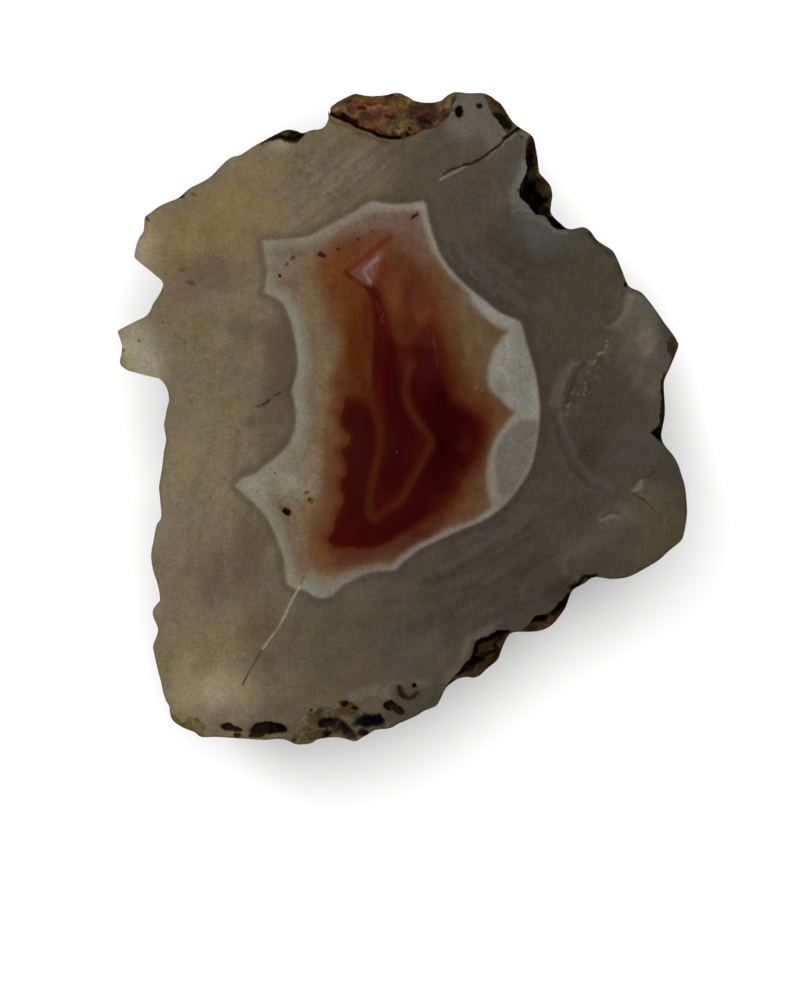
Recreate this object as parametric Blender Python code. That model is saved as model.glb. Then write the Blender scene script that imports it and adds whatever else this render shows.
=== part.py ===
"""Half of an agate nodule, cut and polished across, lying on its rounded back.

Metres, +Z up. The polished face is level at the top, +X and +Y lie in it, and the origin is in
the middle of the small flat spot that the stone rests on.
"""

import math

import bmesh
import bpy
from mathutils import Vector, noise

MM = 0.001

# Driving dimensions, in millimetres
HEIGHT = 25.0
DOME_DEPTH = 26.4
DOME_FULLNESS = 2.2
DOME_FULLNESS_SWING = 0.3
DOME_SWING_TURN = 35.0
EDGE_WEAR = 0.22

# Outline of the stone seen from above, counter-clockwise from the top, in millimetres
TOP_CRUST_RIM = [
    (-0.5, 32.7), (-2.1, 32.4), (-3.6, 32.4), (-4.7, 32.6), (-5.7, 32.2), (-6.4, 31.8), (-7.1, 31.1),
    (-7.4, 30.8), (-7.2, 30.4), (-7.4, 29.8), (-7.7, 29.2), (-8.2, 28.9), (-9.0, 28.8), (-10.0, 28.5),
    (-10.4, 28.7), (-11.2, 28.9), (-11.8, 28.8), (-12.6, 28.4),
]
UPPER_LEFT_RIM = [
    (-13.4, 28.0), (-14.8, 27.2), (-16.2, 26.3), (-17.0, 26.1), (-17.7, 25.6), (-19.2, 24.1),
    (-20.2, 23.5), (-21.2, 23.0), (-22.4, 22.0), (-23.4, 21.6), (-24.4, 21.1), (-25.2, 20.5),
]
UPPER_HORN_RIM = [
    (-25.7, 20.1), (-25.8, 19.2), (-25.9, 18.6), (-26.3, 18.0), (-26.6, 17.2), (-26.8, 16.1),
    (-26.3, 15.6), (-25.4, 14.9), (-24.7, 14.3), (-24.1, 13.8), (-23.9, 13.4), (-24.1, 12.7),
    (-24.5, 12.0), (-24.9, 11.4), (-25.2, 10.7),
]
LOWER_HORN_RIM = [
    (-25.6, 10.2), (-26.4, 9.8), (-27.4, 9.3), (-28.5, 8.7), (-28.1, 7.6), (-28.0, 6.9), (-28.2, 5.8),
    (-28.2, 5.3), (-27.5, 4.8), (-26.5, 4.5), (-25.4, 4.2), (-24.4, 4.0), (-23.9, 3.6), (-23.5, 2.9),
]
LEFT_BREAK_RIM = [
    (-23.3, 1.9), (-23.5, 1.0), (-23.7, -0.1), (-23.8, -0.7), (-23.6, -2.2), (-23.8, -3.3),
    (-24.0, -5.0), (-24.3, -6.9), (-24.2, -8.0), (-24.1, -10.0), (-24.5, -10.6), (-24.8, -12.0),
    (-25.1, -13.8), (-24.8, -15.6), (-24.5, -16.4), (-24.2, -18.2), (-24.5, -18.6), (-24.9, -19.2),
    (-24.9, -19.8), (-24.4, -21.2), (-24.9, -22.8), (-24.8, -23.5), (-24.4, -25.3), (-24.1, -26.4),
    (-23.9, -27.4), (-23.6, -28.3), (-23.3, -28.8), (-23.2, -29.6), (-22.9, -30.3),
]
BOTTOM_RIM = [
    (-22.3, -30.8), (-21.5, -31.2), (-20.7, -31.5), (-20.1, -31.9), (-18.7, -31.9), (-17.0, -32.0),
    (-15.4, -32.1), (-13.7, -32.2), (-12.4, -32.1), (-11.6, -32.2), (-10.7, -32.6), (-9.8, -32.7),
    (-9.1, -32.6), (-8.4, -32.2), (-6.7, -32.0), (-5.9, -32.1), (-4.7, -32.4), (-4.1, -32.1),
    (-3.4, -31.7), (-2.7, -31.3), (-1.1, -31.0), (-0.4, -30.6), (0.3, -30.3), (1.6, -29.7),
    (2.2, -29.3), (3.4, -28.8),
]
LOWER_RIGHT_RIM = [
    (3.8, -28.2), (4.4, -27.0), (5.0, -26.5), (5.7, -26.1), (6.5, -26.0), (7.2, -26.1), (7.9, -25.8),
    (8.4, -25.3), (9.3, -24.6), (9.7, -24.1), (10.0, -23.3), (10.5, -22.1), (10.8, -21.6),
    (11.4, -21.4), (12.3, -21.4), (13.1, -21.4), (14.0, -21.3), (14.7, -21.0), (15.2, -20.6),
    (16.2, -19.3), (16.5, -18.7), (16.7, -18.1), (16.9, -17.5), (17.2, -17.1), (18.3, -16.5),
]
RIGHT_LOBE_RIM = [
    (18.8, -16.1), (19.4, -15.9), (20.9, -16.1), (22.6, -15.9), (24.4, -15.0), (25.7, -14.2),
    (26.8, -13.2), (27.9, -12.3), (28.2, -11.6), (28.5, -9.8), (28.5, -8.8), (28.3, -6.8),
    (28.0, -5.8), (27.6, -4.6), (27.0, -3.6), (26.4, -2.9), (26.0, -2.2),
]
RIGHT_RIM = [
    (26.0, -1.4), (26.3, 0.3), (26.3, 1.3), (26.2, 3.5), (26.4, 4.2), (26.7, 4.8), (27.0, 5.5),
    (27.5, 6.7), (27.7, 7.3), (27.5, 7.8), (26.8, 8.8), (26.2, 9.6), (25.8, 10.2), (25.1, 11.2),
    (24.3, 12.2), (23.9, 12.6), (22.8, 13.1), (22.5, 13.5), (22.0, 14.8), (21.4, 16.2),
    (21.0, 16.8), (19.9, 17.5), (19.4, 17.9), (19.0, 18.5), (18.6, 18.9), (18.1, 19.1),
    (17.0, 18.9), (16.4, 19.0),
]
UPPER_RIGHT_RIM = [
    (15.9, 19.5), (15.0, 20.4), (14.9, 20.9), (15.0, 21.6), (15.1, 22.4), (15.0, 23.1), (14.7, 23.7),
    (14.2, 24.2), (13.8, 24.7), (13.7, 25.4), (13.6, 26.2), (13.4, 27.4), (13.2, 28.0),
    (12.8, 28.4), (11.7, 29.1), (11.2, 29.5), (10.9, 30.0), (10.2, 31.2), (9.8, 31.7), (8.7, 32.3),
    (8.1, 32.5), (6.6, 32.5), (5.4, 32.6), (4.5, 32.3), (3.9, 31.9), (2.6, 31.7), (1.2, 31.9),
    (0.6, 32.3),
]
RIM = (
    TOP_CRUST_RIM + UPPER_LEFT_RIM + UPPER_HORN_RIM + LOWER_HORN_RIM + LEFT_BREAK_RIM + BOTTOM_RIM
    + LOWER_RIGHT_RIM + RIGHT_LOBE_RIM + RIGHT_RIM + UPPER_RIGHT_RIM
)

# Where the polish stops short of the rim and rough rind shows: the edge of the polish, in
# millimetres, and how far the rind lies below the face at each of LEDGE_SHARES
LEDGE_SHARES = (0.3, 0.65, 1.0)
LEDGE_FULL_WIDTH = 1.6
RIND_LEDGES = [
    {
        "name": "top crust",
        "edge": [
            (5.1, 32.4), (5.0, 30.5), (4.3, 29.8), (3.3, 29.0), (2.2, 28.8), (0.8, 28.1),
            (-0.6, 27.9), (-2.2, 28.0), (-3.6, 28.7), (-5.0, 29.1), (-6.2, 29.8), (-6.9, 30.1),
            (-7.2, 30.6),
        ],
        "drops": (1.5, 0.6, 2.2),
    },
    {
        "name": "small crust on the upper left",
        "edge": [(-9.0, 28.7), (-10.2, 28.0), (-11.6, 28.0), (-12.6, 27.9), (-14.0, 27.5)],
        "drops": (0.5, 0.4, 0.9),
    },
    {
        "name": "corner at the lower left",
        "edge": [(-23.2, -29.4), (-22.2, -29.8), (-20.7, -29.9), (-20.2, -30.3), (-19.8, -31.8)],
        "drops": (0.2, 0.4, 0.9),
    },
    {
        "name": "bottom crust",
        "edge": [
            (-10.9, -32.4), (-10.5, -30.9), (-9.4, -29.3), (-8.2, -28.9), (-7.2, -28.8),
            (-6.4, -28.3), (-5.4, -28.2), (-4.4, -28.9), (-3.6, -29.4), (-2.4, -29.5), (-1.6, -30.2),
            (-1.2, -31.0),
        ],
        "drops": (0.5, 0.8, 1.5),
    },
    {
        "name": "lower right lump",
        "edge": [
            (3.8, -27.8), (4.6, -26.6), (5.0, -26.0), (5.8, -25.2), (6.2, -24.6), (6.8, -24.1),
            (7.1, -23.4), (7.3, -22.5), (7.8, -22.0), (8.6, -21.8), (9.2, -21.4), (9.8, -21.2),
            (10.6, -21.2), (11.2, -21.4),
        ],
        "drops": (2.2, 1.0, 2.8),
    },
    {
        "name": "lower right seam",
        "edge": [
            (11.9, -21.3), (12.7, -20.6), (13.1, -20.0), (13.6, -19.7), (14.4, -19.6),
            (15.0, -19.2), (15.6, -18.6), (16.1, -18.1), (16.5, -17.6), (17.3, -16.9),
        ],
        "drops": (1.7, 1.4, 2.0),
    },
    {
        "name": "notch on the right",
        "edge": [
            (25.9, -2.4), (25.2, -1.8), (24.9, -1.4), (25.7, -0.8), (25.9, 1.8), (25.9, 3.8),
            (26.2, 4.6),
        ],
        "drops": (0.7, 1.0, 1.2),
    },
    {
        "name": "patch on the right",
        "edge": [(26.6, 5.0), (26.9, 6.0), (26.5, 7.0), (26.6, 7.8), (27.0, 8.4)],
        "drops": (0.4, 0.6, 0.9),
    },
    {
        "name": "pit on the upper right",
        "edge": [
            (16.5, 18.8), (15.5, 18.9), (15.0, 19.2), (14.7, 19.7), (14.3, 20.2), (13.7, 20.3),
            (13.1, 20.6), (12.8, 21.1), (12.4, 21.5), (11.8, 22.1), (11.7, 22.7), (11.9, 23.3),
            (12.4, 24.3), (12.8, 25.0), (12.8, 26.3), (12.9, 27.6), (12.8, 28.2),
        ],
        "drops": (3.2, 1.8, 2.0),
    },
    {
        "name": "wedge on the upper right",
        "edge": [
            (11.3, 29.2), (10.5, 28.4), (10.2, 28.8), (9.6, 29.7), (9.0, 30.3), (8.7, 31.0),
            (8.3, 32.1),
        ],
        "drops": (0.7, 0.7, 1.6),
    },
]

# The flank on the left is a clean break, nearly upright, scooped by conchoidal chips
BREAK_FROM = 120.0
BREAK_TO = 240.0
BREAK_HOLD = 1.5
BREAK_X = -23.6
BREAK_LEAN = 0.03
BREAK_RIM_FADE = 3.5
BULGE_FROM = 150.0
BULGE_TO = 226.0
BULGE_FEATHER = 12.0
BULGE = 2.4
BREAK_SCOOPS = [
    {"y": 13.6, "depth": 3.0, "radius": 6.5, "carve": 1.4},
    {"y": 1.5, "depth": 4.5, "radius": 7.5, "carve": 1.5},
    {"y": -8.5, "depth": 8.5, "radius": 7.0, "carve": 1.3},
    {"y": -18.0, "depth": 4.0, "radius": 6.0, "carve": 1.0},
    {"y": 8.0, "depth": 12.0, "radius": 6.0, "carve": 1.1},
    {"y": -25.0, "depth": 9.0, "radius": 6.0, "carve": 1.2},
]

# Levels down the flank, as shares of the way from the rim to the flat spot, and the lumps on it
FLANK_SHARES = (
    0.04, 0.09, 0.15, 0.22, 0.3, 0.38, 0.46, 0.54, 0.62, 0.7, 0.78, 0.85, 0.91, 0.96, 1.0,
)
RIM_DETAIL_FADE = 0.13
BROAD_HALF_WINDOW = 30
BROAD_STEP = 5
SWELL_SIZE = 12.0
SWELL_HEIGHT = 2.4
KNOB_SIZE = 6.0
KNOB_HEIGHT = 1.7
KNOB_CREST = 0.5
KNOB_FALL = 1.6
LUMPS_START = 0.2
LUMPS_END = 0.72
LUMPS_GONE = 0.97
RIM_CLEARANCE = 0.05
COLUMNS_EVEN_BY = 0.3
EVENING_PASSES = 60

# Small pits that break through the polish: centre, half lengths, depth and turn in degrees
FACE_PITS = [
    {"name": "pit_bottom_left", "x": -17.1, "y": -31.2, "half": (1.05, 0.55), "depth": 0.7, "turn": -8.0},
    {"name": "pit_bottom", "x": -13.5, "y": -31.0, "half": (1.9, 0.75), "depth": 1.1, "turn": -3.0},
    {"name": "pit_bottom_right", "x": -0.8, "y": -29.1, "half": (1.0, 0.5), "depth": 0.8, "turn": 12.0},
    {"name": "pit_round", "x": 0.7, "y": -27.2, "half": (0.6, 0.6), "depth": 0.4, "turn": 0.0},
    {"name": "pit_top", "x": 5.6, "y": 30.7, "half": (0.5, 0.65), "depth": 0.8, "turn": 0.0},
]
PIT_ROUGHNESS = 0.18
PIT_ROUGH_DETAIL = 1.7
PIT_RAISE = 0.35

STONE_COLOUR = (0.105, 0.08, 0.05, 1.0)
STONE_ROUGHNESS = 0.35
SHARP_EDGE_DEGREES = 40.0


def clear_scene():
    for old in list(bpy.data.objects):
        bpy.data.objects.remove(old)


def smooth_step(low, high, value):
    share = min(max((value - low) / (high - low), 0.0), 1.0)
    return share * share * (3.0 - 2.0 * share)


def angle_of(point):
    return math.degrees(math.atan2(point[1], point[0])) % 360.0


def ray_crossing(angle, start, end):
    """Distance from the centre to the line through two points, along a ray at this angle."""
    ray_x = math.cos(math.radians(angle))
    ray_y = math.sin(math.radians(angle))
    side_x = end[0] - start[0]
    side_y = end[1] - start[1]
    return (start[0] * side_y - start[1] * side_x) / (ray_x * side_y - ray_y * side_x)


def path_radius(points, angle, closed):
    """Distance from the centre to a path that runs round it, or None beside the path's ends."""
    ends = points[1:] + points[:1] if closed else points[1:]
    for start, end in zip(points, ends):
        swept = (angle_of(end) - angle_of(start) + 180.0) % 360.0 - 180.0
        passed = (angle - angle_of(start) + 180.0) % 360.0 - 180.0
        if swept and 0.0 <= passed / swept <= 1.0:
            return ray_crossing(angle, start, end)
    return None


def rim_radius(angle):
    return path_radius(RIM, angle, closed=True)


def ledge_at(angle, rim):
    """Radius of the polish's edge at this angle, and how far each step of the ledge drops."""
    for ledge in RIND_LEDGES:
        edge = path_radius(ledge["edge"], angle, closed=False)
        if edge is not None and edge < rim - EDGE_WEAR:
            reach = min((rim - edge) / LEDGE_FULL_WIDTH, 1.0)
            drops = zip(ledge["drops"], LEDGE_SHARES)
            return edge, [max(drop * reach, EDGE_WEAR * share) for drop, share in drops]
    return rim - EDGE_WEAR, [EDGE_WEAR * share for share in LEDGE_SHARES]


def bulge_at(angle):
    """How far the whole nodule once reached past the mean rim, where the break took stone away."""
    inside = min(angle - BULGE_FROM, BULGE_TO - angle)
    return BULGE * smooth_step(-BULGE_FEATHER, BULGE_FEATHER, inside)


def broad_radius(angle):
    """The rim's radius with its small detail averaged out."""
    window = range(-BROAD_HALF_WINDOW, BROAD_HALF_WINDOW + 1, BROAD_STEP)
    return sum(rim_radius((angle + turn) % 360.0) for turn in window) / len(window)


def scoop_carve(y, depth):
    """How deep the conchoidal chips bite into the break at a place on it."""
    deepest = 0.0
    for scoop in BREAK_SCOOPS:
        away = math.hypot(y - scoop["y"], depth - scoop["depth"]) / scoop["radius"]
        deepest = max(deepest, scoop["carve"] * (1.0 - away * away))
    return deepest


def break_radius(angle, rim, depth):
    """Distance to the broken flank. It starts at the rim and settles on a leaning plane."""
    facing = -math.cos(math.radians(angle))
    plane = (-BREAK_X - BREAK_LEAN * depth) / facing
    hold = math.exp(-((depth / BREAK_RIM_FADE) ** BREAK_HOLD))
    carve = scoop_carve(plane * math.sin(math.radians(angle)), depth)
    return plane + (rim + BREAK_X / facing) * hold - carve * (1.0 - hold) / facing


def lump_height(point):
    """Swells and rounded knobs of the rind, in millimetres out of the surface."""
    swell = noise.noise(point / SWELL_SIZE) * SWELL_HEIGHT
    nearest = noise.voronoi(point / KNOB_SIZE)[0][0]
    return swell + KNOB_HEIGHT * (KNOB_CREST - KNOB_FALL * nearest * nearest)


def dome_share(angle, share):
    """The flank's radius as a share of the rim's, for an undisturbed rounded back."""
    swing = math.sin(math.radians(2.0 * angle + DOME_SWING_TURN))
    fullness = DOME_FULLNESS + DOME_FULLNESS_SWING * swing
    return (1.0 - (share * HEIGHT / DOME_DEPTH) ** fullness) ** (1.0 / fullness)


def flank_point(angle, start_depth, share):
    """A point on the flank, at a share of the way down from the rim to the flat spot."""
    depth = start_depth + (HEIGHT - start_depth) * share
    dome = dome_share(angle, share)
    rim = rim_radius(angle)
    broad = broad_radius(angle)
    radius = (broad + (rim - broad) * math.exp(-share / RIM_DETAIL_FADE) + bulge_at(angle)) * dome
    direction = Vector((math.cos(math.radians(angle)), math.sin(math.radians(angle)), 0.0))
    grown = smooth_step(0.0, LUMPS_START, share) * (1.0 - smooth_step(LUMPS_END, LUMPS_GONE, share))
    lump = grown * lump_height(direction * radius + Vector((0.0, 0.0, HEIGHT - depth)))
    radius += lump * dome
    height = HEIGHT - depth - lump * (1.0 - dome)
    if BREAK_FROM < angle < BREAK_TO:
        radius = min(radius, break_radius(angle, rim, depth))
    radius = min(radius, rim - RIM_CLEARANCE)
    return direction * radius + Vector((0.0, 0.0, height))


def column(angle, even_angle):
    """Points from the edge of the polish over the rim and down to the flat spot. It starts at the
    angle of a point on the rim and eases to one that is evenly spaced from its neighbours."""
    rim = rim_radius(angle)
    edge, drops = ledge_at(angle, rim)
    direction = Vector((math.cos(math.radians(angle)), math.sin(math.radians(angle)), 0.0))
    points = [direction * edge + Vector((0.0, 0.0, HEIGHT))]
    for share, drop in zip(LEDGE_SHARES, drops):
        points.append(direction * (edge + (rim - edge) * share) + Vector((0.0, 0.0, HEIGHT - drop)))
    for share in FLANK_SHARES:
        eased = angle + (even_angle - angle) * smooth_step(0.0, COLUMNS_EVEN_BY, share)
        points.append(flank_point(eased % 360.0, drops[-1], share))
    return points


def evened(angles):
    """The same angles round the circle, with their spacing smoothed out."""
    for _ in range(EVENING_PASSES):
        before = [angles[-1] - 360.0] + angles[:-1]
        after = angles[1:] + [angles[0] + 360.0]
        angles = [(low + middle + high) / 3.0 for low, middle, high in zip(before, angles, after)]
    return angles


def stone_mesh():
    """The stone as rings of points round it, closed by the level face and the flat spot."""
    angles = sorted(angle_of(point) for point in RIM)
    model = bmesh.new()
    columns = []
    for angle, even_angle in zip(angles, evened(angles)):
        columns.append([model.verts.new(point * MM) for point in column(angle, even_angle)])
    for left, right in zip(columns, columns[1:] + columns[:1]):
        for level in range(len(left) - 1):
            model.faces.new((left[level], left[level + 1], right[level + 1], right[level]))
    model.faces.new([points[0] for points in columns])
    model.faces.new([points[-1] for points in reversed(columns)])
    mesh = bpy.data.meshes.new("agate_half")
    model.to_mesh(mesh)
    model.free()
    return mesh


def stone_material():
    material = bpy.data.materials.new("agate")
    material.use_nodes = True
    shader = material.node_tree.nodes["Principled BSDF"]
    shader.inputs["Base Color"].default_value = STONE_COLOUR
    shader.inputs["Roughness"].default_value = STONE_ROUGHNESS
    shader.inputs["Metallic"].default_value = 0.0
    return material


def add_stone():
    stone = bpy.data.objects.new("agate_half", stone_mesh())
    stone.data.materials.append(stone_material())
    stone.data.shade_smooth()
    stone.data.set_sharp_from_angle(angle=math.radians(SHARP_EDGE_DEGREES))
    bpy.context.scene.collection.objects.link(stone)
    return stone


def pit_cutter(pit):
    """A rough ellipsoid that stands half out of the face."""
    model = bmesh.new()
    bmesh.ops.create_icosphere(model, subdivisions=2, radius=1.0)
    turn = math.radians(pit["turn"])
    shift = Vector((pit["x"], pit["y"], 0.0))
    for vert in model.verts:
        rough = 1.0 + PIT_ROUGHNESS * noise.noise(vert.co * PIT_ROUGH_DETAIL + shift)
        x = vert.co.x * pit["half"][0] * rough
        y = vert.co.y * pit["half"][1] * rough
        vert.co.x = x * math.cos(turn) - y * math.sin(turn)
        vert.co.y = x * math.sin(turn) + y * math.cos(turn)
        vert.co.z *= pit["depth"] * (1.0 + PIT_RAISE)
        vert.co *= MM
    mesh = bpy.data.meshes.new(pit["name"])
    model.to_mesh(mesh)
    model.free()
    cutter = bpy.data.objects.new(pit["name"], mesh)
    cutter.location = (pit["x"] * MM, pit["y"] * MM, (HEIGHT + pit["depth"] * PIT_RAISE) * MM)
    cutter.hide_render = True
    cutter.display_type = "WIRE"
    bpy.context.scene.collection.objects.link(cutter)
    return cutter


def cut_pits(stone):
    for pit in FACE_PITS:
        cut = stone.modifiers.new(pit["name"], "BOOLEAN")
        cut.operation = "DIFFERENCE"
        cut.solver = "EXACT"
        cut.object = pit_cutter(pit)


clear_scene()
cut_pits(add_stone())
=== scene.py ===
"""Looks of the agate half: the stone's full surface with its markings, a pale floor, soft light, the camera.

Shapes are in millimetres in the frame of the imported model, and colours are sRGB from 0 to 255.
The tables come first. Then come the functions: geometry, forms, colours, materials and stage.
"""
import math

import bpy
import numpy as np
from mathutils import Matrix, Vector, kdtree, noise
from mathutils.geometry import delaunay_2d_cdt


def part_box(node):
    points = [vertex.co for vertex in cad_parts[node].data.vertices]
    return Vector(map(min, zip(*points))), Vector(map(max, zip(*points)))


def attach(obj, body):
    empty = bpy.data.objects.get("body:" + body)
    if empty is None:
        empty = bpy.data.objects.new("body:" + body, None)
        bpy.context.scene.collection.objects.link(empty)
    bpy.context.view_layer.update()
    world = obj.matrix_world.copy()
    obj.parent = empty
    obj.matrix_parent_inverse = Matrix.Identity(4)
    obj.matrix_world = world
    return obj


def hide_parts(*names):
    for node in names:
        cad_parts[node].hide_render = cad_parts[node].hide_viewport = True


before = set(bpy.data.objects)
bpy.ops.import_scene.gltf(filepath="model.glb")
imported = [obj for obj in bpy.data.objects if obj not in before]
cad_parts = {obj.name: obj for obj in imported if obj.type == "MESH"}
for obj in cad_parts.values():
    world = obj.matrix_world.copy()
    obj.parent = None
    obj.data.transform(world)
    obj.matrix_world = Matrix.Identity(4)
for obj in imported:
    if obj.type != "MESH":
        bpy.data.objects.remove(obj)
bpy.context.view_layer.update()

MM = 0.001
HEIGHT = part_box("agate_half")[1].z / MM

# The stone's form, as in the source of the solid. The rim runs from the top round by the left
DOME_DEPTH = 26.4
DOME_FULLNESS = 2.2
DOME_FULLNESS_SWING = 0.3
DOME_SWING_TURN = 35.0
EDGE_WEAR = 0.22
TOP_CRUST_RIM = [
    (-0.5, 32.7), (-2.1, 32.4), (-3.6, 32.4), (-4.7, 32.6), (-5.7, 32.2), (-6.4, 31.8), (-7.1, 31.1),
    (-7.4, 30.8), (-7.2, 30.4), (-7.4, 29.8), (-7.7, 29.2), (-8.2, 28.9), (-9.0, 28.8), (-10.0, 28.5),
    (-10.4, 28.7), (-11.2, 28.9), (-11.8, 28.8), (-12.6, 28.4),
]
UPPER_LEFT_RIM = [
    (-13.4, 28.0), (-14.8, 27.2), (-16.2, 26.3), (-17.0, 26.1), (-17.7, 25.6), (-19.2, 24.1),
    (-20.2, 23.5), (-21.2, 23.0), (-22.4, 22.0), (-23.4, 21.6), (-24.4, 21.1), (-25.2, 20.5),
]
UPPER_HORN_RIM = [
    (-25.7, 20.1), (-25.8, 19.2), (-25.9, 18.6), (-26.3, 18.0), (-26.6, 17.2), (-26.8, 16.1),
    (-26.3, 15.6), (-25.4, 14.9), (-24.7, 14.3), (-24.1, 13.8), (-23.9, 13.4), (-24.1, 12.7),
    (-24.5, 12.0), (-24.9, 11.4), (-25.2, 10.7),
]
LOWER_HORN_RIM = [
    (-25.6, 10.2), (-26.4, 9.8), (-27.4, 9.3), (-28.5, 8.7), (-28.1, 7.6), (-28.0, 6.9), (-28.2, 5.8),
    (-28.2, 5.3), (-27.5, 4.8), (-26.5, 4.5), (-25.4, 4.2), (-24.4, 4.0), (-23.9, 3.6), (-23.5, 2.9),
]
LEFT_BREAK_RIM = [
    (-23.3, 1.9), (-23.5, 1.0), (-23.7, -0.1), (-23.8, -0.7), (-23.6, -2.2), (-23.8, -3.3),
    (-24.0, -5.0), (-24.3, -6.9), (-24.2, -8.0), (-24.1, -10.0), (-24.5, -10.6), (-24.8, -12.0),
    (-25.1, -13.8), (-24.8, -15.6), (-24.5, -16.4), (-24.2, -18.2), (-24.5, -18.6), (-24.9, -19.2),
    (-24.9, -19.8), (-24.4, -21.2), (-24.9, -22.8), (-24.8, -23.5), (-24.4, -25.3), (-24.1, -26.4),
    (-23.9, -27.4), (-23.6, -28.3), (-23.3, -28.8), (-23.2, -29.6), (-22.9, -30.3),
]
BOTTOM_RIM = [
    (-22.3, -30.8), (-21.5, -31.2), (-20.7, -31.5), (-20.1, -31.9), (-18.7, -31.9), (-17.0, -32.0),
    (-15.4, -32.1), (-13.7, -32.2), (-12.4, -32.1), (-11.6, -32.2), (-10.7, -32.6), (-9.8, -32.7),
    (-9.1, -32.6), (-8.4, -32.2), (-6.7, -32.0), (-5.9, -32.1), (-4.7, -32.4), (-4.1, -32.1),
    (-3.4, -31.7), (-2.7, -31.3), (-1.1, -31.0), (-0.4, -30.6), (0.3, -30.3), (1.6, -29.7),
    (2.2, -29.3), (3.4, -28.8),
]
LOWER_RIGHT_RIM = [
    (3.8, -28.2), (4.4, -27.0), (5.0, -26.5), (5.7, -26.1), (6.5, -26.0), (7.2, -26.1), (7.9, -25.8),
    (8.4, -25.3), (9.3, -24.6), (9.7, -24.1), (10.0, -23.3), (10.5, -22.1), (10.8, -21.6),
    (11.4, -21.4), (12.3, -21.4), (13.1, -21.4), (14.0, -21.3), (14.7, -21.0), (15.2, -20.6),
    (16.2, -19.3), (16.5, -18.7), (16.7, -18.1), (16.9, -17.5), (17.2, -17.1), (18.3, -16.5),
]
RIGHT_LOBE_RIM = [
    (18.8, -16.1), (19.4, -15.9), (20.9, -16.1), (22.6, -15.9), (24.4, -15.0), (25.7, -14.2),
    (26.8, -13.2), (27.9, -12.3), (28.2, -11.6), (28.5, -9.8), (28.5, -8.8), (28.3, -6.8),
    (28.0, -5.8), (27.6, -4.6), (27.0, -3.6), (26.4, -2.9), (26.0, -2.2),
]
RIGHT_RIM = [
    (26.0, -1.4), (26.3, 0.3), (26.3, 1.3), (26.2, 3.5), (26.4, 4.2), (26.7, 4.8), (27.0, 5.5),
    (27.5, 6.7), (27.7, 7.3), (27.5, 7.8), (26.8, 8.8), (26.2, 9.6), (25.8, 10.2), (25.1, 11.2),
    (24.3, 12.2), (23.9, 12.6), (22.8, 13.1), (22.5, 13.5), (22.0, 14.8), (21.4, 16.2),
    (21.0, 16.8), (19.9, 17.5), (19.4, 17.9), (19.0, 18.5), (18.6, 18.9), (18.1, 19.1),
    (17.0, 18.9), (16.4, 19.0),
]
UPPER_RIGHT_RIM = [
    (15.9, 19.5), (15.0, 20.4), (14.9, 20.9), (15.0, 21.6), (15.1, 22.4), (15.0, 23.1), (14.7, 23.7),
    (14.2, 24.2), (13.8, 24.7), (13.7, 25.4), (13.6, 26.2), (13.4, 27.4), (13.2, 28.0),
    (12.8, 28.4), (11.7, 29.1), (11.2, 29.5), (10.9, 30.0), (10.2, 31.2), (9.8, 31.7), (8.7, 32.3),
    (8.1, 32.5), (6.6, 32.5), (5.4, 32.6), (4.5, 32.3), (3.9, 31.9), (2.6, 31.7), (1.2, 31.9),
    (0.6, 32.3),
]
RIM = (
    TOP_CRUST_RIM + UPPER_LEFT_RIM + UPPER_HORN_RIM + LOWER_HORN_RIM + LEFT_BREAK_RIM + BOTTOM_RIM
    + LOWER_RIGHT_RIM + RIGHT_LOBE_RIM + RIGHT_RIM + UPPER_RIGHT_RIM
)
LEDGE_SHARES = (0.3, 0.65, 1.0)
LEDGE_FULL_WIDTH = 1.6
LEDGE_END = 2.2
LEDGE_WIDER = 1.5
LEDGE_MARGIN = 0.4
LEDGE_STEP = 0.05
EDGE_ROUND = 0.09
EDGE_SLOPE = 0.3
WALL_SHARE = 0.13

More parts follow.
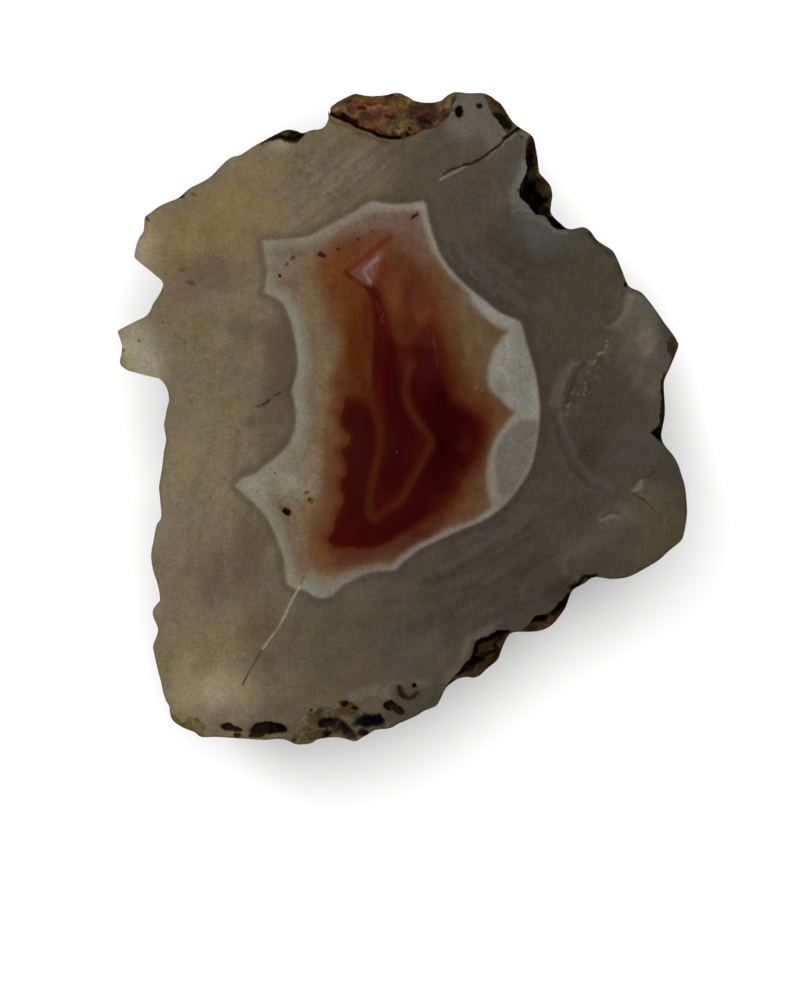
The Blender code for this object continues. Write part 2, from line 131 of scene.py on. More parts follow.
# Rough ledges that interrupt the polish: the polish's edge there, and the drops at each of the shares
RIND_LEDGES = [
    {
        "name": "top crust",
        "edge": [
            (5.1, 32.4), (5.0, 30.5), (4.3, 29.8), (3.3, 29.0), (2.2, 28.8), (0.8, 28.1),
            (-0.6, 27.9), (-2.2, 28.0), (-3.6, 28.7), (-5.0, 29.1), (-6.2, 29.8), (-6.9, 30.1),
            (-7.2, 30.6),
        ],
        "drops": (0.45, 0.5, 2.0),
    },
    {
        "name": "small crust on the upper left",
        "edge": [(-9.0, 28.7), (-10.2, 28.0), (-11.6, 28.0), (-12.6, 27.9), (-14.0, 27.5)],
        "drops": (0.5, 0.4, 0.9),
    },
    {
        "name": "corner at the lower left",
        "edge": [(-23.2, -29.4), (-22.2, -29.8), (-20.7, -29.9), (-20.2, -30.3), (-19.8, -31.8)],
        "drops": (0.06, 0.3, 0.9),
    },
    {
        "name": "bottom crust",
        "edge": [
            (-10.9, -32.4), (-10.5, -30.9), (-9.4, -29.3), (-8.2, -28.9), (-7.2, -28.8),
            (-6.4, -28.3), (-5.4, -28.2), (-4.4, -28.9), (-3.6, -29.4), (-2.4, -29.5), (-1.6, -30.2),
            (-1.2, -31.0),
        ],
        "drops": (0.06, 0.5, 1.4),
    },
    {
        "name": "lower right lump",
        "edge": [
            (3.8, -27.8), (4.6, -26.6), (5.0, -26.0), (5.8, -25.2), (6.2, -24.6), (6.8, -24.1),
            (7.1, -23.4), (7.3, -22.5), (7.8, -22.0), (8.6, -21.8), (9.2, -21.4), (9.8, -21.2),
            (10.6, -21.2), (11.2, -21.4),
        ],
        "drops": (2.2, 1.0, 2.8),
    },
    {
        "name": "lower right seam",
        "edge": [
            (11.9, -21.3), (12.7, -20.6), (13.1, -20.0), (13.6, -19.7), (14.4, -19.6),
            (15.0, -19.2), (15.6, -18.6), (16.1, -18.1), (16.5, -17.6), (17.3, -16.9),
        ],
        "drops": (1.7, 1.4, 2.0),
    },
    {
        "name": "notch on the right",
        "edge": [
            (25.9, -2.4), (25.2, -1.8), (24.9, -1.4), (25.7, -0.8), (25.9, 1.8), (25.9, 3.8), (26.2, 4.6),
        ],
        "drops": (0.7, 1.0, 1.2),
    },
    {
        "name": "patch on the right",
        "edge": [(26.6, 5.0), (26.9, 6.0), (26.5, 7.0), (26.6, 7.8), (27.0, 8.4)],
        "drops": (0.4, 0.6, 0.9),
    },
    {
        "name": "pit on the upper right",
        "edge": [
            (16.5, 18.8), (15.5, 18.9), (15.0, 19.2), (14.7, 19.7), (14.3, 20.2), (13.7, 20.3),
            (13.1, 20.6), (12.8, 21.1), (12.4, 21.5), (11.8, 22.1), (11.7, 22.7), (11.9, 23.3),
            (12.3, 24.3), (12.5, 25.0), (12.35, 26.3), (12.4, 27.5), (12.6, 28.2),
        ],
        "drops": (3.2, 1.8, 2.0),
    },
    {
        "name": "wedge on the upper right",
        "edge": [
            (11.3, 29.2), (10.5, 28.4), (10.2, 28.8), (9.6, 29.7), (9.0, 30.3), (8.7, 31.0), (8.3, 32.1),
        ],
        "drops": (0.7, 0.7, 1.6),
    },
]

# The clean break on the left, the relief of the flank and how the outline's detail fades down it
BREAK_FROM = 120.0
BREAK_TO = 240.0
BREAK_HOLD = 1.5
BREAK_X = -23.6
BREAK_LEAN = 0.03
BREAK_RIM_FADE = 3.5
BULGE_FROM = 150.0
BULGE_TO = 226.0
BULGE_FEATHER = 12.0
BULGE = 2.4
BREAK_SCOOPS = [
    {"y": 13.6, "depth": 3.0, "radius": 6.5, "carve": 1.4},
    {"y": 1.5, "depth": 4.5, "radius": 7.5, "carve": 1.5},
    {"y": -8.5, "depth": 8.5, "radius": 7.0, "carve": 1.3},
    {"y": -18.0, "depth": 4.0, "radius": 6.0, "carve": 1.0},
    {"y": 8.0, "depth": 12.0, "radius": 6.0, "carve": 1.1},
    {"y": -25.0, "depth": 9.0, "radius": 6.0, "carve": 1.2},
]
RIM_DETAIL_FADE = 0.13
BROAD_HALF_WINDOW = 30
BROAD_STEP = 5
SWELL_SIZE = 12.0
SWELL_HEIGHT = 2.4
KNOB_SIZE = 6.0
KNOB_HEIGHT = 1.7
KNOB_CREST = 0.5
KNOB_FALL = 1.6
LUMPS_START = 0.2
LUMPS_END = 0.72
LUMPS_GONE = 0.97
RIM_CLEARANCE = 0.05
COLUMNS_EVEN_BY = 0.3

# Relief of the rind on the cut side, the flanks, the break and the small pits: size across, height, seed
RIND_LUMPS = [(1.5, 0.45, 3.0), (0.66, 0.32, 7.0), (0.32, 0.16, 11.0)]
FINE_LUMPS = [(2.6, 0.42, 2.0), (1.1, 0.24, 6.0), (0.55, 0.12, 12.0)]
BREAK_ROUGH = [(2.6, 0.35, 4.0), (1.1, 0.12, 8.0), (0.5, 0.05, 15.0)]
PIT_ROUGH = [(0.7, 0.2, 5.0), (0.3, 0.12, 9.0)]

# Facets of the rind on the cut side: size across, height, the level that stays in place and seed.
# Below them are the fine pits of the flank, and where relief starts, ends and wears the polish away
RIND_FACETS = (1.0, 0.5, 0.4, 17.0)
FINE_PIT_SIZE = 3.2
FINE_PIT_SEED = 5.0
FINE_PIT_REACH = 0.34
FINE_PIT_DEPTH = 0.8
FINE_START = 0.05
FINE_END = 0.9
FLANK_RELIEF = 0.9
BREAK_MEETS_RIND = (-0.1, 0.25)
PIT_EDGE = 0.62
WORN_DEPTH = 0.03

# Small pits in the polish: centre, half lengths, depth, turn in degrees and colour
FACE_PITS = [
    ((-17.5, -30.9), (0.7, 0.42), 0.7, -10.0, (34, 24, 16)),
    ((-16.6, -31.1), (0.75, 0.26), 0.5, -12.0, (44, 30, 20)),
    ((-16.5, -31.7), (0.4, 0.26), 0.4, 0.0, (62, 42, 22)),
    ((-13.3, -30.95), (1.7, 0.62), 1.1, -4.0, (15, 15, 14)),
    ((-14.4, -31.1), (0.95, 0.5), 0.9, 10.0, (30, 28, 25)),
    ((-14.5, -31.7), (0.8, 0.26), 0.5, 5.0, (50, 36, 18)),
    ((-12.1, -31.0), (0.7, 0.4), 0.7, -20.0, (20, 18, 12)),
    ((-1.2, -28.75), (0.8, 0.52), 0.6, 10.0, (26, 19, 10)),
    ((-0.4, -29.2), (0.7, 0.4), 0.4, -35.0, (38, 28, 14)),
    ((1.25, -26.75), (0.28, 0.26), 0.45, 0.0, (8, 7, 5)),
    ((5.7, 30.65), (0.42, 0.6), 0.8, 0.0, (12, 12, 18)),
    ((7.75, 31.2), (0.32, 0.26), 0.35, -15.0, (34, 22, 14)),
]

# Cracks and crevices of the cut side: the line, its half width and depth, the colour and strength
GROOVES = [
    ([(-8.6, -13.0), (-9.1, -14.0), (-9.6, -15.4), (-10.2, -16.8)], 0.1, 0.04, (124, 98, 60), 0.75),
    # This crack's pale colour is partly its own and partly a painted reflection of the shining fissure
    (
        [(-10.2, -16.8), (-11.0, -18.2), (-11.7, -19.7), (-12.4, -21.0), (-13.4, -22.3), (-14.0, -23.2)],
        0.13, 0.05, (158, 148, 122), 0.95,
    ),
    ([(-14.0, -23.2), (-14.7, -24.4), (-15.4, -25.6), (-15.9, -26.6)], 0.1, 0.05, (74, 62, 46), 0.75),
    ([(11.75, 29.0), (11.1, 28.6), (10.6, 28.2), (10.2, 27.9)], 0.2, 0.3, (26, 16, 10), 0.97),
    (
        [(10.2, 27.8), (9.6, 27.15), (9.0, 26.8), (8.4, 26.3), (7.8, 25.9), (7.0, 25.5), (6.2, 25.3)],
        0.13, 0.1, (38, 25, 15), 0.95,
    ),
    ([(6.4, 25.35), (5.5, 25.05), (4.8, 24.8), (4.2, 24.4)], 0.1, 0.06, (58, 38, 22), 0.85),
    ([(-12.2, 2.5), (-12.8, 2.2)], 0.12, 0.04, (62, 48, 36), 0.7),
    ([(-13.3, 1.75), (-13.7, 1.45), (-13.9, 1.35)], 0.16, 0.05, (50, 38, 28), 0.85),
    ([(-14.2, 1.2), (-14.5, 1.15)], 0.1, 0.04, (60, 48, 36), 0.7),
    ([(-11.5, 2.8), (-12.6, 2.3), (-13.4, 1.7), (-14.5, 1.1)], 0.05, 0.02, (78, 64, 50), 0.6),
    (
        [
            (-7.15, 30.45), (-6.5, 30.1), (-5.9, 29.95), (-5.4, 29.75), (-4.7, 29.3), (-3.8, 28.9),
            (-3.0, 28.65), (-2.2, 28.25), (-1.2, 28.05), (-0.2, 28.05),
        ],
        0.17, 0.55, (24, 11, 7), 0.95,
    ),
    ([(-5.9, 30.3), (-5.3, 29.9), (-4.6, 29.6)], 0.3, 0.5, (24, 12, 8), 0.9),
    (
        [(-14.0, 27.65), (-13.2, 27.95), (-12.2, 28.15), (-11.6, 27.95), (-10.6, 27.85), (-10.1, 28.3)],
        0.26, 0.5, (22, 14, 9), 0.95,
    ),
    ([(-7.9, -30.6), (-6.9, -30.4), (-5.9, -30.9), (-5.1, -31.7)], 0.5, 0.6, (32, 21, 20), 0.95),
    ([(8.2, -23.8), (9.0, -23.4), (9.7, -23.2)], 0.2, 0.4, (34, 22, 12), 0.85),
]

# Specks in the polish: centre, half lengths, turn in degrees and colour
SPECKS = [
    ((-12.2, 14.2), (0.2, 0.18), 0.0, (40, 26, 16)),
    ((-10.9, 16.0), (0.32, 0.2), 50.0, (78, 60, 44)),
    ((-11.5, 15.4), (0.25, 0.18), 30.0, (82, 64, 48)),
    ((-8.0, 16.3), (0.5, 0.28), -20.0, (62, 30, 16)),
    ((1.25, 20.2), (0.62, 0.17), 40.0, (66, 30, 18)),
    ((-11.55, -9.35), (0.5, 0.36), -30.0, (24, 13, 6)),
    ((-12.05, -8.95), (0.26, 0.2), 0.0, (96, 76, 54)),
    ((-9.15, -8.25), (0.34, 0.28), -25.0, (84, 64, 30)),
    ((-9.3, -8.05), (0.14, 0.12), 0.0, (50, 36, 16)),
    ((-9.55, -7.4), (0.26, 0.13), 15.0, (78, 60, 36)),
    ((-12.7, -5.5), (0.16, 0.12), 0.0, (92, 82, 58)),
    ((-14.5, -7.3), (0.22, 0.1), 50.0, (96, 88, 72)),
    ((-19.2, -8.0), (0.14, 0.14), 0.0, (84, 70, 50)),
    ((-23.9, 9.5), (0.14, 0.12), 0.0, (88, 74, 52)),
    ((-26.3, 7.7), (0.15, 0.15), 0.0, (92, 78, 56)),
    ((-15.9, -10.2), (0.12, 0.12), 0.0, (82, 70, 52)),
    ((6.1, -4.85), (0.3, 0.2), 30.0, (28, 2, 2)),
    ((-21.8, 7.5), (0.13, 0.13), 0.0, (98, 86, 64)),
    ((-28.0, 6.8), (0.3, 0.22), 0.0, (84, 68, 46)),
    ((-22.0, 14.8), (0.3, 0.26), 0.0, (98, 84, 60)),
    ((-21.1, 13.5), (0.45, 0.24), -25.0, (84, 70, 48)),
    ((-22.1, 22.2), (0.36, 0.2), -25.0, (58, 47, 36)),
    ((-20.8, 22.35), (0.38, 0.14), -20.0, (92, 76, 54)),
    ((-25.5, 19.9), (0.34, 0.2), -30.0, (82, 64, 44)),
    ((-11.6, -9.35), (0.14, 0.12), 0.0, (20, 12, 8)),
    ((22.4, 13.4), (0.2, 0.32), -15.0, (14, 10, 8)),
    ((22.9, 12.1), (0.34, 0.2), -20.0, (112, 108, 92)),
    # Painted glints along the sparkling streak
    ((20.5, 7.7), (0.16, 0.14), 0.0, (108, 104, 90)),
    ((18.8, 5.6), (0.16, 0.14), 0.0, (104, 100, 84)),
    ((18.2, 2.3), (0.16, 0.13), 0.0, (98, 95, 80)),
    ((12.0, 28.1), (0.2, 0.16), 0.0, (66, 50, 34)),
    # Painted bluish glint
    ((-0.5, -3.4), (0.14, 0.14), 0.0, (74, 56, 70)),
    ((7.4, 3.1), (0.22, 0.14), 25.0, (118, 88, 52)),
    ((8.0, 2.8), (0.2, 0.13), 20.0, (114, 84, 50)),
    ((4.4, 11.6), (0.2, 0.1), 30.0, (112, 90, 72)),
    ((-6.4, 16.9), (0.16, 0.14), 0.0, (70, 34, 18)),
    ((-4.4, 17.9), (0.18, 0.14), 0.0, (74, 40, 22)),
    ((-3.0, 18.7), (0.14, 0.12), 0.0, (78, 50, 34)),
]

# White band round the centre: its outer and inner outlines as arcs that meet in cusps, clockwise
BAND_OUTER_ARCS = [
    [(-11.7, 17.8), (-9.25, 18.2), (-7.2, 19.25), (-5.1, 20.4), (-3.2, 21.55), (-2.8, 21.7)],
    [(-2.2, 21.5), (-0.2, 21.35), (1.6, 21.6), (2.05, 21.7)],
    [
        (2.35, 21.4), (2.5, 20.65), (3.0, 18.6), (3.4, 17.45), (3.85, 16.35), (5.1, 14.6), (6.6, 13.1),
        (8.3, 11.7), (9.8, 10.55), (11.3, 9.9), (11.7, 9.7),
    ],
    [
        (12.0, 9.2), (12.4, 7.7), (12.95, 5.8), (13.45, 3.8), (13.75, 1.3), (13.7, -0.4), (13.4, -2.7),
        (12.9, -4.85), (11.9, -6.6), (10.8, -8.1), (9.65, -9.2), (8.15, -10.2), (6.0, -11.1),
        (3.8, -12.1), (1.8, -13.1), (0.0, -14.5), (-0.6, -15.15),
    ],
    [
        (-1.5, -15.25), (-2.7, -15.35), (-3.7, -15.6), (-4.55, -15.95), (-6.0, -16.8), (-7.15, -17.8),
        (-8.1, -18.0), (-8.7, -17.85), (-9.4, -17.4), (-10.05, -17.05), (-10.5, -17.15), (-11.5, -16.55),
    ],
    [
        (-11.65, -15.1), (-11.9, -13.65), (-12.6, -11.75), (-13.6, -9.75), (-14.85, -8.45),
        (-16.2, -7.2), (-16.6, -6.8),
    ],
    [
        (-16.2, -6.2), (-15.45, -5.85), (-14.65, -5.6), (-13.9, -4.95), (-12.4, -3.85), (-11.15, -2.3),
        (-10.55, -0.2), (-10.8, 1.85), (-11.0, 2.6), (-10.9, 3.1), (-10.45, 4.8), (-10.4, 6.1),
        (-10.65, 7.6), (-11.1, 9.6), (-11.8, 11.3), (-12.5, 11.95), (-13.7, 12.55),
    ],
    [(-13.6, 13.3), (-13.45, 14.7), (-13.65, 16.1), (-13.9, 17.7)],
]
BAND_INNER_ARCS = [
    [(-12.2, 17.1), (-9.1, 17.55), (-7.2, 18.5), (-5.0, 19.75), (-3.2, 20.6), (-1.2, 20.7), (1.7, 20.7)],
    [
        (2.0, 19.7), (2.65, 17.7), (3.2, 16.45), (4.65, 14.4), (6.2, 12.9), (6.8, 12.2), (7.15, 11.4),
        (7.7, 10.7), (9.2, 9.4), (10.7, 8.7),
    ],
    [
        (10.2, 8.15), (9.15, 6.7), (8.65, 4.95), (8.6, 4.0), (8.75, 3.0), (9.95, 1.75), (10.7, 1.0),
        (11.3, 0.65),
    ],
    [(10.4, -0.6), (9.4, -1.95), (8.8, -3.3), (8.5, -4.7), (8.45, -6.2), (8.6, -7.3), (8.9, -8.75)],
    [
        (8.6, -9.2), (6.85, -10.35), (4.8, -11.0), (2.7, -12.1), (0.95, -12.95), (-0.8, -14.45),
        (-1.5, -14.75), (-3.7, -15.0), (-5.6, -15.65), (-6.8, -16.3), (-7.4, -16.25), (-8.85, -15.65),
        (-9.45, -15.5), (-9.9, -15.95), (-10.35, -16.1),
    ],
    [(-10.9, -14.9), (-11.2, -13.15), (-11.9, -11.5), (-12.55, -9.75), (-13.3, -8.3), (-13.45, -7.7)],
    [
        (-13.3, -7.1), (-12.6, -5.8), (-11.5, -4.9), (-10.3, -3.55), (-9.65, -2.1), (-9.3, -0.2),
        (-9.3, 0.85), (-9.6, 2.6), (-9.65, 3.4), (-9.3, 4.85), (-9.25, 5.9), (-9.45, 7.95), (-9.9, 9.85),
        (-10.5, 11.4), (-11.4, 12.5), (-12.7, 13.3),
    ],
    [(-12.85, 14.6), (-12.95, 16.1), (-13.2, 16.8)],
]
LOBE_FILL_ARCS = [
    [(11.0, -0.75), (9.85, -2.25), (9.35, -4.15), (9.35, -5.2), (9.65, -7.25), (10.1, -7.85)],
    [(10.95, -7.7), (11.75, -6.45), (12.5, -5.2), (13.25, -2.9), (13.58, -1.0), (13.5, -0.3)],
    [(12.75, -0.2), (11.85, -0.2)],
]

# Red centre: the dark stain, with small cusps down its left side
RED_ARCS = [
    [(-6.05, 1.9), (-6.05, 0.85), (-6.35, 0.0), (-6.35, -0.75)],
    [(-5.9, -1.35), (-5.3, -1.8), (-5.4, -2.4), (-5.9, -2.85), (-6.35, -3.05)],
    [(-6.2, -3.55), (-5.9, -4.0), (-5.7, -4.6), (-5.7, -5.2), (-5.9, -5.7), (-6.35, -6.1)],
    [(-6.25, -6.65), (-6.5, -7.25)],
    [(-6.05, -7.85), (-6.05, -8.45), (-6.7, -9.75), (-6.95, -11.1), (-7.65, -12.1)],
    [
        (-7.4, -12.55), (-6.85, -13.0), (-5.2, -13.15), (-3.7, -12.95), (-2.2, -12.5), (-0.75, -11.45),
        (1.25, -10.35), (3.15, -8.9), (4.65, -7.4), (5.1, -5.65), (6.4, -4.45), (7.15, -2.7),
        (7.75, -0.6), (6.55, 0.55), (4.9, 1.6), (4.6, 3.1), (4.2, 4.65), (3.9, 6.6), (3.1, 8.1),
        (2.6, 9.0), (2.2, 8.8), (1.8, 7.9), (1.2, 7.2), (0.2, 7.0), (-0.8, 7.6),
        (-1.3, 8.8), (-1.7, 10.0), (-2.2, 11.5), (-2.8, 12.8),
    ],
    [(-2.8, 11.2), (-2.8, 9.0), (-2.9, 7.0), (-4.0, 6.4), (-6.0, 6.4), (-5.9, 3.2)],
]
OCHRE_LOOP = [
    (-4.2, 12.0), (-4.2, 9.0), (-4.2, 6.0), (-3.9, 3.8), (-3.1, 2.0), (-2.4, -0.2), (-2.1, -2.4),
    (-2.6, -4.6), (-3.0, -6.4), (-3.2, -8.2), (-3.3, -9.7), (-2.7, -10.1), (-1.4, -9.0), (-0.2, -8.3),
    (0.8, -6.5), (1.8, -4.7), (2.8, -2.7), (2.7, -1.9), (1.9, -0.8), (0.8, 0.9), (0.3, 2.4),
    (0.4, 3.8), (0.9, 5.5),
]

# How finely the surface is made, in millimetres between points, and the rings of the flank
RIM_COLUMNS = 800
FACE_SPACING = 0.34
CENTRE_SPACING = 0.21
BAND_SPACING = 0.15
RIND_SPACING = 0.138
CRACK_SPACING = 0.12
SPECK_SPACING = 0.09
SPECK_BOX = 0.8
SPECK_GROWN = 1.5
THIN_LINE = 0.3
LINE_CLEARANCE = 0.1
GROOVE_SIDES = (0.0, 0.07, -0.07, 0.15, -0.15, 0.26, -0.26)
LINE_SIDES = (0.0, 0.1, -0.1, 0.22, -0.22)
CENTRE_GROWN = 1.5
BAND_GROWN = 0.35
PIT_GROWN = 1.35
LOOP_CLEARANCE = 0.6
UPPER_RINGS = 14
MIDDLE_RINGS = 42
LOWER_RINGS = 24
UPPER_SHARE = 0.14
MIDDLE_SHARE = 0.78
LOWER_CROWDING = 1.4
EVENING_PASSES = 900

# Places with fine streaks, which need points as close as the rind: centre and reach
DETAILED = [((19.0, 4.0), 2.8), ((24.0, -7.4), 1.6), ((22.4, 10.6), 1.2)]

# Steps along the curves, the turn that stays sharp, how far out marks are looked for in half widths,
# the size of working lists, lengths too small to matter, and how a seed moves the noise
RIM_STEP = 0.05
OUTLINE_STEP = 0.3
ORANGE_STEP = 0.5
RED_STEP = 0.25
KITE_STEP = 0.2
GROOVE_STEP = 0.2
LINE_STEP = 0.1
CORNER_DEGREES = 48.0
NEARBY = 2.0
GROOVE_NEARBY = 3.0
CHUNK = 2000
TINY_LENGTH = 1e-9
TINY = 1e-12
WELD = 1e-6
SEED_STEPS = (1.0, 2.7, -1.3)

# Materials of the faces
POLISHED = 0
NATURAL = 1
BROKEN = 2

# Tints of the grey stone and the white band
GREY_LEFT = (117, 104, 79)
GREY_RIGHT = (69, 64, 54)
WHITE_LEFT = (132, 127, 109)
WHITE_TOP = (137, 128, 112)
WHITE_LOBE = (137, 134, 122)
WHITE_LOW = (122, 119, 107)
WHITE_INNER = (118, 107, 84)
WHITE_GLOW = (124, 115, 92)

# Soft patches of tint in the grey stone: centre, half lengths, turn in degrees, colour, strength
BODY_PATCHES = [
    ("pale facet on the right", (24.3, 9.4), (1.8, 2.8), 25.0, (92, 88, 77), 0.6),
    ("golden upper left", (-18.5, 19.0), (9.0, 3.6), 38.0, (127, 107, 71), 0.75),
    ("gold spot on the upper left", (-17.5, 22.5), (3.0, 2.2), 30.0, (130, 111, 72), 0.6),
    ("rose brown under it", (-18.5, 14.0), (4.5, 3.0), 10.0, (113, 96, 76), 0.7),
    ("pale upper horn", (-25.8, 16.6), (2.0, 3.2), 10.0, (148, 136, 112), 0.9),
    ("pale lower horn", (-26.6, 6.6), (2.6, 3.2), 0.0, (152, 145, 124), 0.95),
    ("olive left", (-18.5, 4.5), (4.5, 6.0), 10.0, (108, 98, 73), 0.6),
    ("mauve beside the band", (-12.2, 4.5), (1.8, 7.0), -4.0, (88, 73, 60), 0.9),
    ("mauve under the band's tip", (-13.5, -2.8), (1.8, 1.3), 45.0, (98, 84, 66), 0.5),
    ("cream left edge", (-22.0, -4.0), (3.0, 8.0), 0.0, (122, 111, 87), 0.7),
    ("rosy left", (-20.5, -14.5), (3.0, 4.0), 0.0, (113, 96, 77), 0.7),
    ("brown beside the lower band", (-15.0, -14.5), (2.0, 3.5), 15.0, (94, 79, 60), 0.6),
    ("golden lower left", (-18.5, -22.5), (3.0, 2.0), 0.0, (122, 107, 78), 0.6),
    ("cream glow at the lower left", (-17.5, -27.0), (2.8, 3.2), 0.0, (143, 128, 99), 0.9),
    ("cream corner", (-21.5, -25.5), (2.0, 4.5), 0.0, (128, 114, 88), 0.5),
    ("grey low middle", (-5.0, -23.5), (6.0, 4.5), -10.0, (88, 80, 62), 0.6),
    ("rosy low middle", (-2.8, -24.5), (1.6, 3.0), 0.0, (94, 80, 65), 0.5),
    ("grey low right", (1.0, -23.5), (2.2, 4.0), 0.0, (86, 80, 68), 0.5),
    ("brown right of the band", (15.0, 1.0), (2.2, 10.0), 0.0, (66, 58, 50), 0.5),
    ("dark upper right", (10.5, 17.5), (3.5, 5.0), 35.0, (64, 56, 49), 0.6),
    ("brown near the top crack", (8.0, 25.8), (2.6, 1.6), 25.0, (86, 74, 60), 0.5),
    ("blue grey halo", (12.4, 23.0), (2.6, 4.2), 15.0, (90, 90, 84), 0.75),
    ("blue grey below the pit", (14.5, 18.0), (4.0, 2.2), -10.0, (80, 82, 76), 0.6),
    ("pale top right", (7.6, 29.8), (3.2, 2.6), -20.0, (104, 97, 83), 0.8),
    ("olive right", (18.5, 12.5), (4.5, 5.0), 20.0, (71, 66, 52), 0.6),
    ("pale right edge", (23.5, 8.5), (2.2, 3.5), 20.0, (88, 85, 70), 0.6),
    ("blue grey right", (22.8, -1.8), (2.6, 2.4), 0.0, (72, 72, 64), 0.5),
    ("olive right lobe", (25.6, -10.0), (2.8, 3.6), 0.0, (84, 75, 51), 0.75),
    ("pale lobe spot", (22.0, -9.6), (2.0, 1.2), 10.0, (96, 92, 78), 0.6),
    ("pale lower right", (17.5, -13.2), (3.0, 1.4), 15.0, (90, 88, 76), 0.5),
    ("dark lower middle", (9.5, -15.0), (5.0, 3.0), 30.0, (63, 54, 46), 0.5),
    ("mauve top", (1.5, 24.5), (4.0, 3.2), 20.0, (86, 74, 60), 0.6),
    ("olive under the crust", (-5.0, 28.6), (2.6, 1.6), -20.0, (106, 94, 62), 0.6),
    ("pale top left", (-8.0, 25.0), (4.5, 2.4), 40.0, (109, 100, 79), 0.6),
    ("golden spot on the horn", (-24.6, 19.0), (0.8, 1.1), 0.0, (134, 115, 74), 0.8),
    ("stain on the horn's rim", (-26.0, 17.6), (0.6, 0.5), 0.0, (106, 86, 56), 0.7),
    ("cream under the small crust", (-12.4, 27.1), (1.3, 0.6), 0.0, (136, 130, 101), 0.9),
    ("upper rosy scallop", (-23.6, -12.8), (0.9, 2.2), 0.0, (128, 111, 93), 0.7),
    ("lower rosy scallop", (-23.6, -18.8), (0.8, 2.6), 0.0, (128, 111, 93), 0.7),
    ("olive by the band", (-14.8, -0.5), (0.55, 0.7), 0.0, (83, 77, 57), 0.6),
    ("olive by the band, lower", (-15.9, -4.6), (0.35, 0.5), 0.0, (86, 80, 58), 0.6),
    ("olive by the gold crack", (-13.1, -23.5), (0.7, 1.0), 0.0, (86, 78, 52), 0.5),
    ("white halo by the pit", (12.1, 23.6), (0.9, 3.2), 0.0, (101, 101, 98), 0.85),
    ("white halo above the pit", (11.5, 26.6), (0.6, 1.3), 10.0, (100, 96, 88), 0.6),
    ("cream by the crack's end", (11.9, 28.5), (0.6, 0.5), 0.0, (120, 107, 81), 0.8),
    ("cream by the black strip", (16.6, 18.5), (0.5, 0.35), 0.0, (99, 93, 75), 0.7),
    ("blue grey below the halo", (14.4, 18.6), (2.2, 1.7), 0.0, (75, 77, 74), 0.6),
    ("pale spot by the right rim", (23.4, 10.4), (0.6, 0.7), 0.0, (105, 98, 86), 0.8),
    ("pale column on the right", (24.7, 7.7), (1.1, 2.3), 5.0, (105, 99, 85), 0.85),
    ("pale column, lower", (24.0, 3.8), (1.5, 2.4), 10.0, (87, 83, 69), 0.7),
    ("dark olive right", (18.5, -4.0), (1.4, 1.9), 10.0, (57, 52, 41), 0.75),
    ("dark below the streak", (19.2, 1.4), (1.6, 2.4), 0.0, (60, 56, 45), 0.5),
    ("pale fan in the lobe", (21.0, -10.8), (1.5, 0.6), 10.0, (84, 81, 71), 0.7),
    ("golden low lobe", (24.0, -13.7), (1.7, 1.0), 20.0, (87, 79, 54), 0.7),
    ("brown above the seam", (18.1, -16.4), (0.5, 0.4), 40.0, (64, 46, 32), 0.8),
    ("pale by the low lump", (6.3, -23.1), (0.6, 1.9), -15.0, (98, 94, 78), 0.9),
    ("pale by the low lump's top", (8.4, -21.2), (2.0, 0.5), 15.0, (94, 91, 78), 0.85),
    ("pale by the lump's foot", (4.6, -25.6), (0.5, 1.9), -40.0, (98, 93, 74), 0.85),
    ("pale above the ring", (0.6, -26.2), (1.6, 0.5), -10.0, (104, 98, 80), 0.6),
    ("cream by the low crust", (-2.4, -28.4), (2.0, 1.0), 15.0, (93, 87, 71), 0.6),
    ("olive under the crust's edge", (-5.2, 28.5), (1.9, 0.45), -25.0, (112, 97, 52), 0.6),
    ("cream low corner", (-19.6, -27.6), (3.2, 1.8), 10.0, (147, 133, 103), 0.9),
    ("cream left of it", (-22.6, -26.4), (1.0, 2.4), 0.0, (133, 121, 92), 0.8),
    ("tan low left", (-12.0, -27.4), (2.4, 2.2), 0.0, (104, 91, 70), 0.8),
    ("tan low middle", (-8.2, -27.2), (2.4, 1.8), 0.0, (98, 88, 66), 0.8),
    ("rosy tan low", (-3.4, -26.8), (2.6, 1.6), 0.0, (89, 76, 60), 0.7),
    ("rosy grey low right", (4.0, -24.4), (2.4, 1.8), 30.0, (83, 73, 60), 0.7),
    ("rosy brown left", (-18.6, -14.6), (2.2, 3.2), 0.0, (99, 86, 69), 0.8),
    ("brown by the lower cusps", (-15.6, -11.0), (1.4, 3.0), 15.0, (97, 82, 61), 0.7),
    ("golden brown below them", (-13.8, -20.4), (2.0, 2.2), 0.0, (96, 81, 57), 0.7),
    ("rose brown upper left", (-19.0, 14.2), (2.4, 2.2), 0.0, (102, 86, 65), 0.8),
    ("brown left of the band", (-15.2, 8.0), (1.8, 2.2), 0.0, (96, 84, 66), 0.8),
    ("rosy upper right", (7.4, 19.4), (2.6, 2.2), -40.0, (80, 69, 58), 0.7),
    ("rosy left of the halo", (9.4, 22.8), (1.3, 2.6), 0.0, (82, 72, 61), 0.7),
    ("pale right middle", (25.2, 0.9), (1.2, 2.0), 0.0, (83, 77, 67), 0.7),
    ("tan right lobe", (25.2, -6.6), (2.2, 1.8), 0.0, (80, 76, 64), 0.7),
    ("brown by the seam", (15.2, -17.6), (1.6, 1.1), 40.0, (54, 47, 39), 0.8),
    ("tan below the band", (-4.4, -17.4), (2.8, 1.0), 12.0, (93, 83, 66), 0.8),
    ("rosy below the band", (-0.6, -17.2), (2.0, 1.2), 20.0, (84, 74, 63), 0.7),
    ("golden streak low", (-9.6, -22.4), (0.8, 3.4), -12.0, (99, 87, 63), 0.5),
]

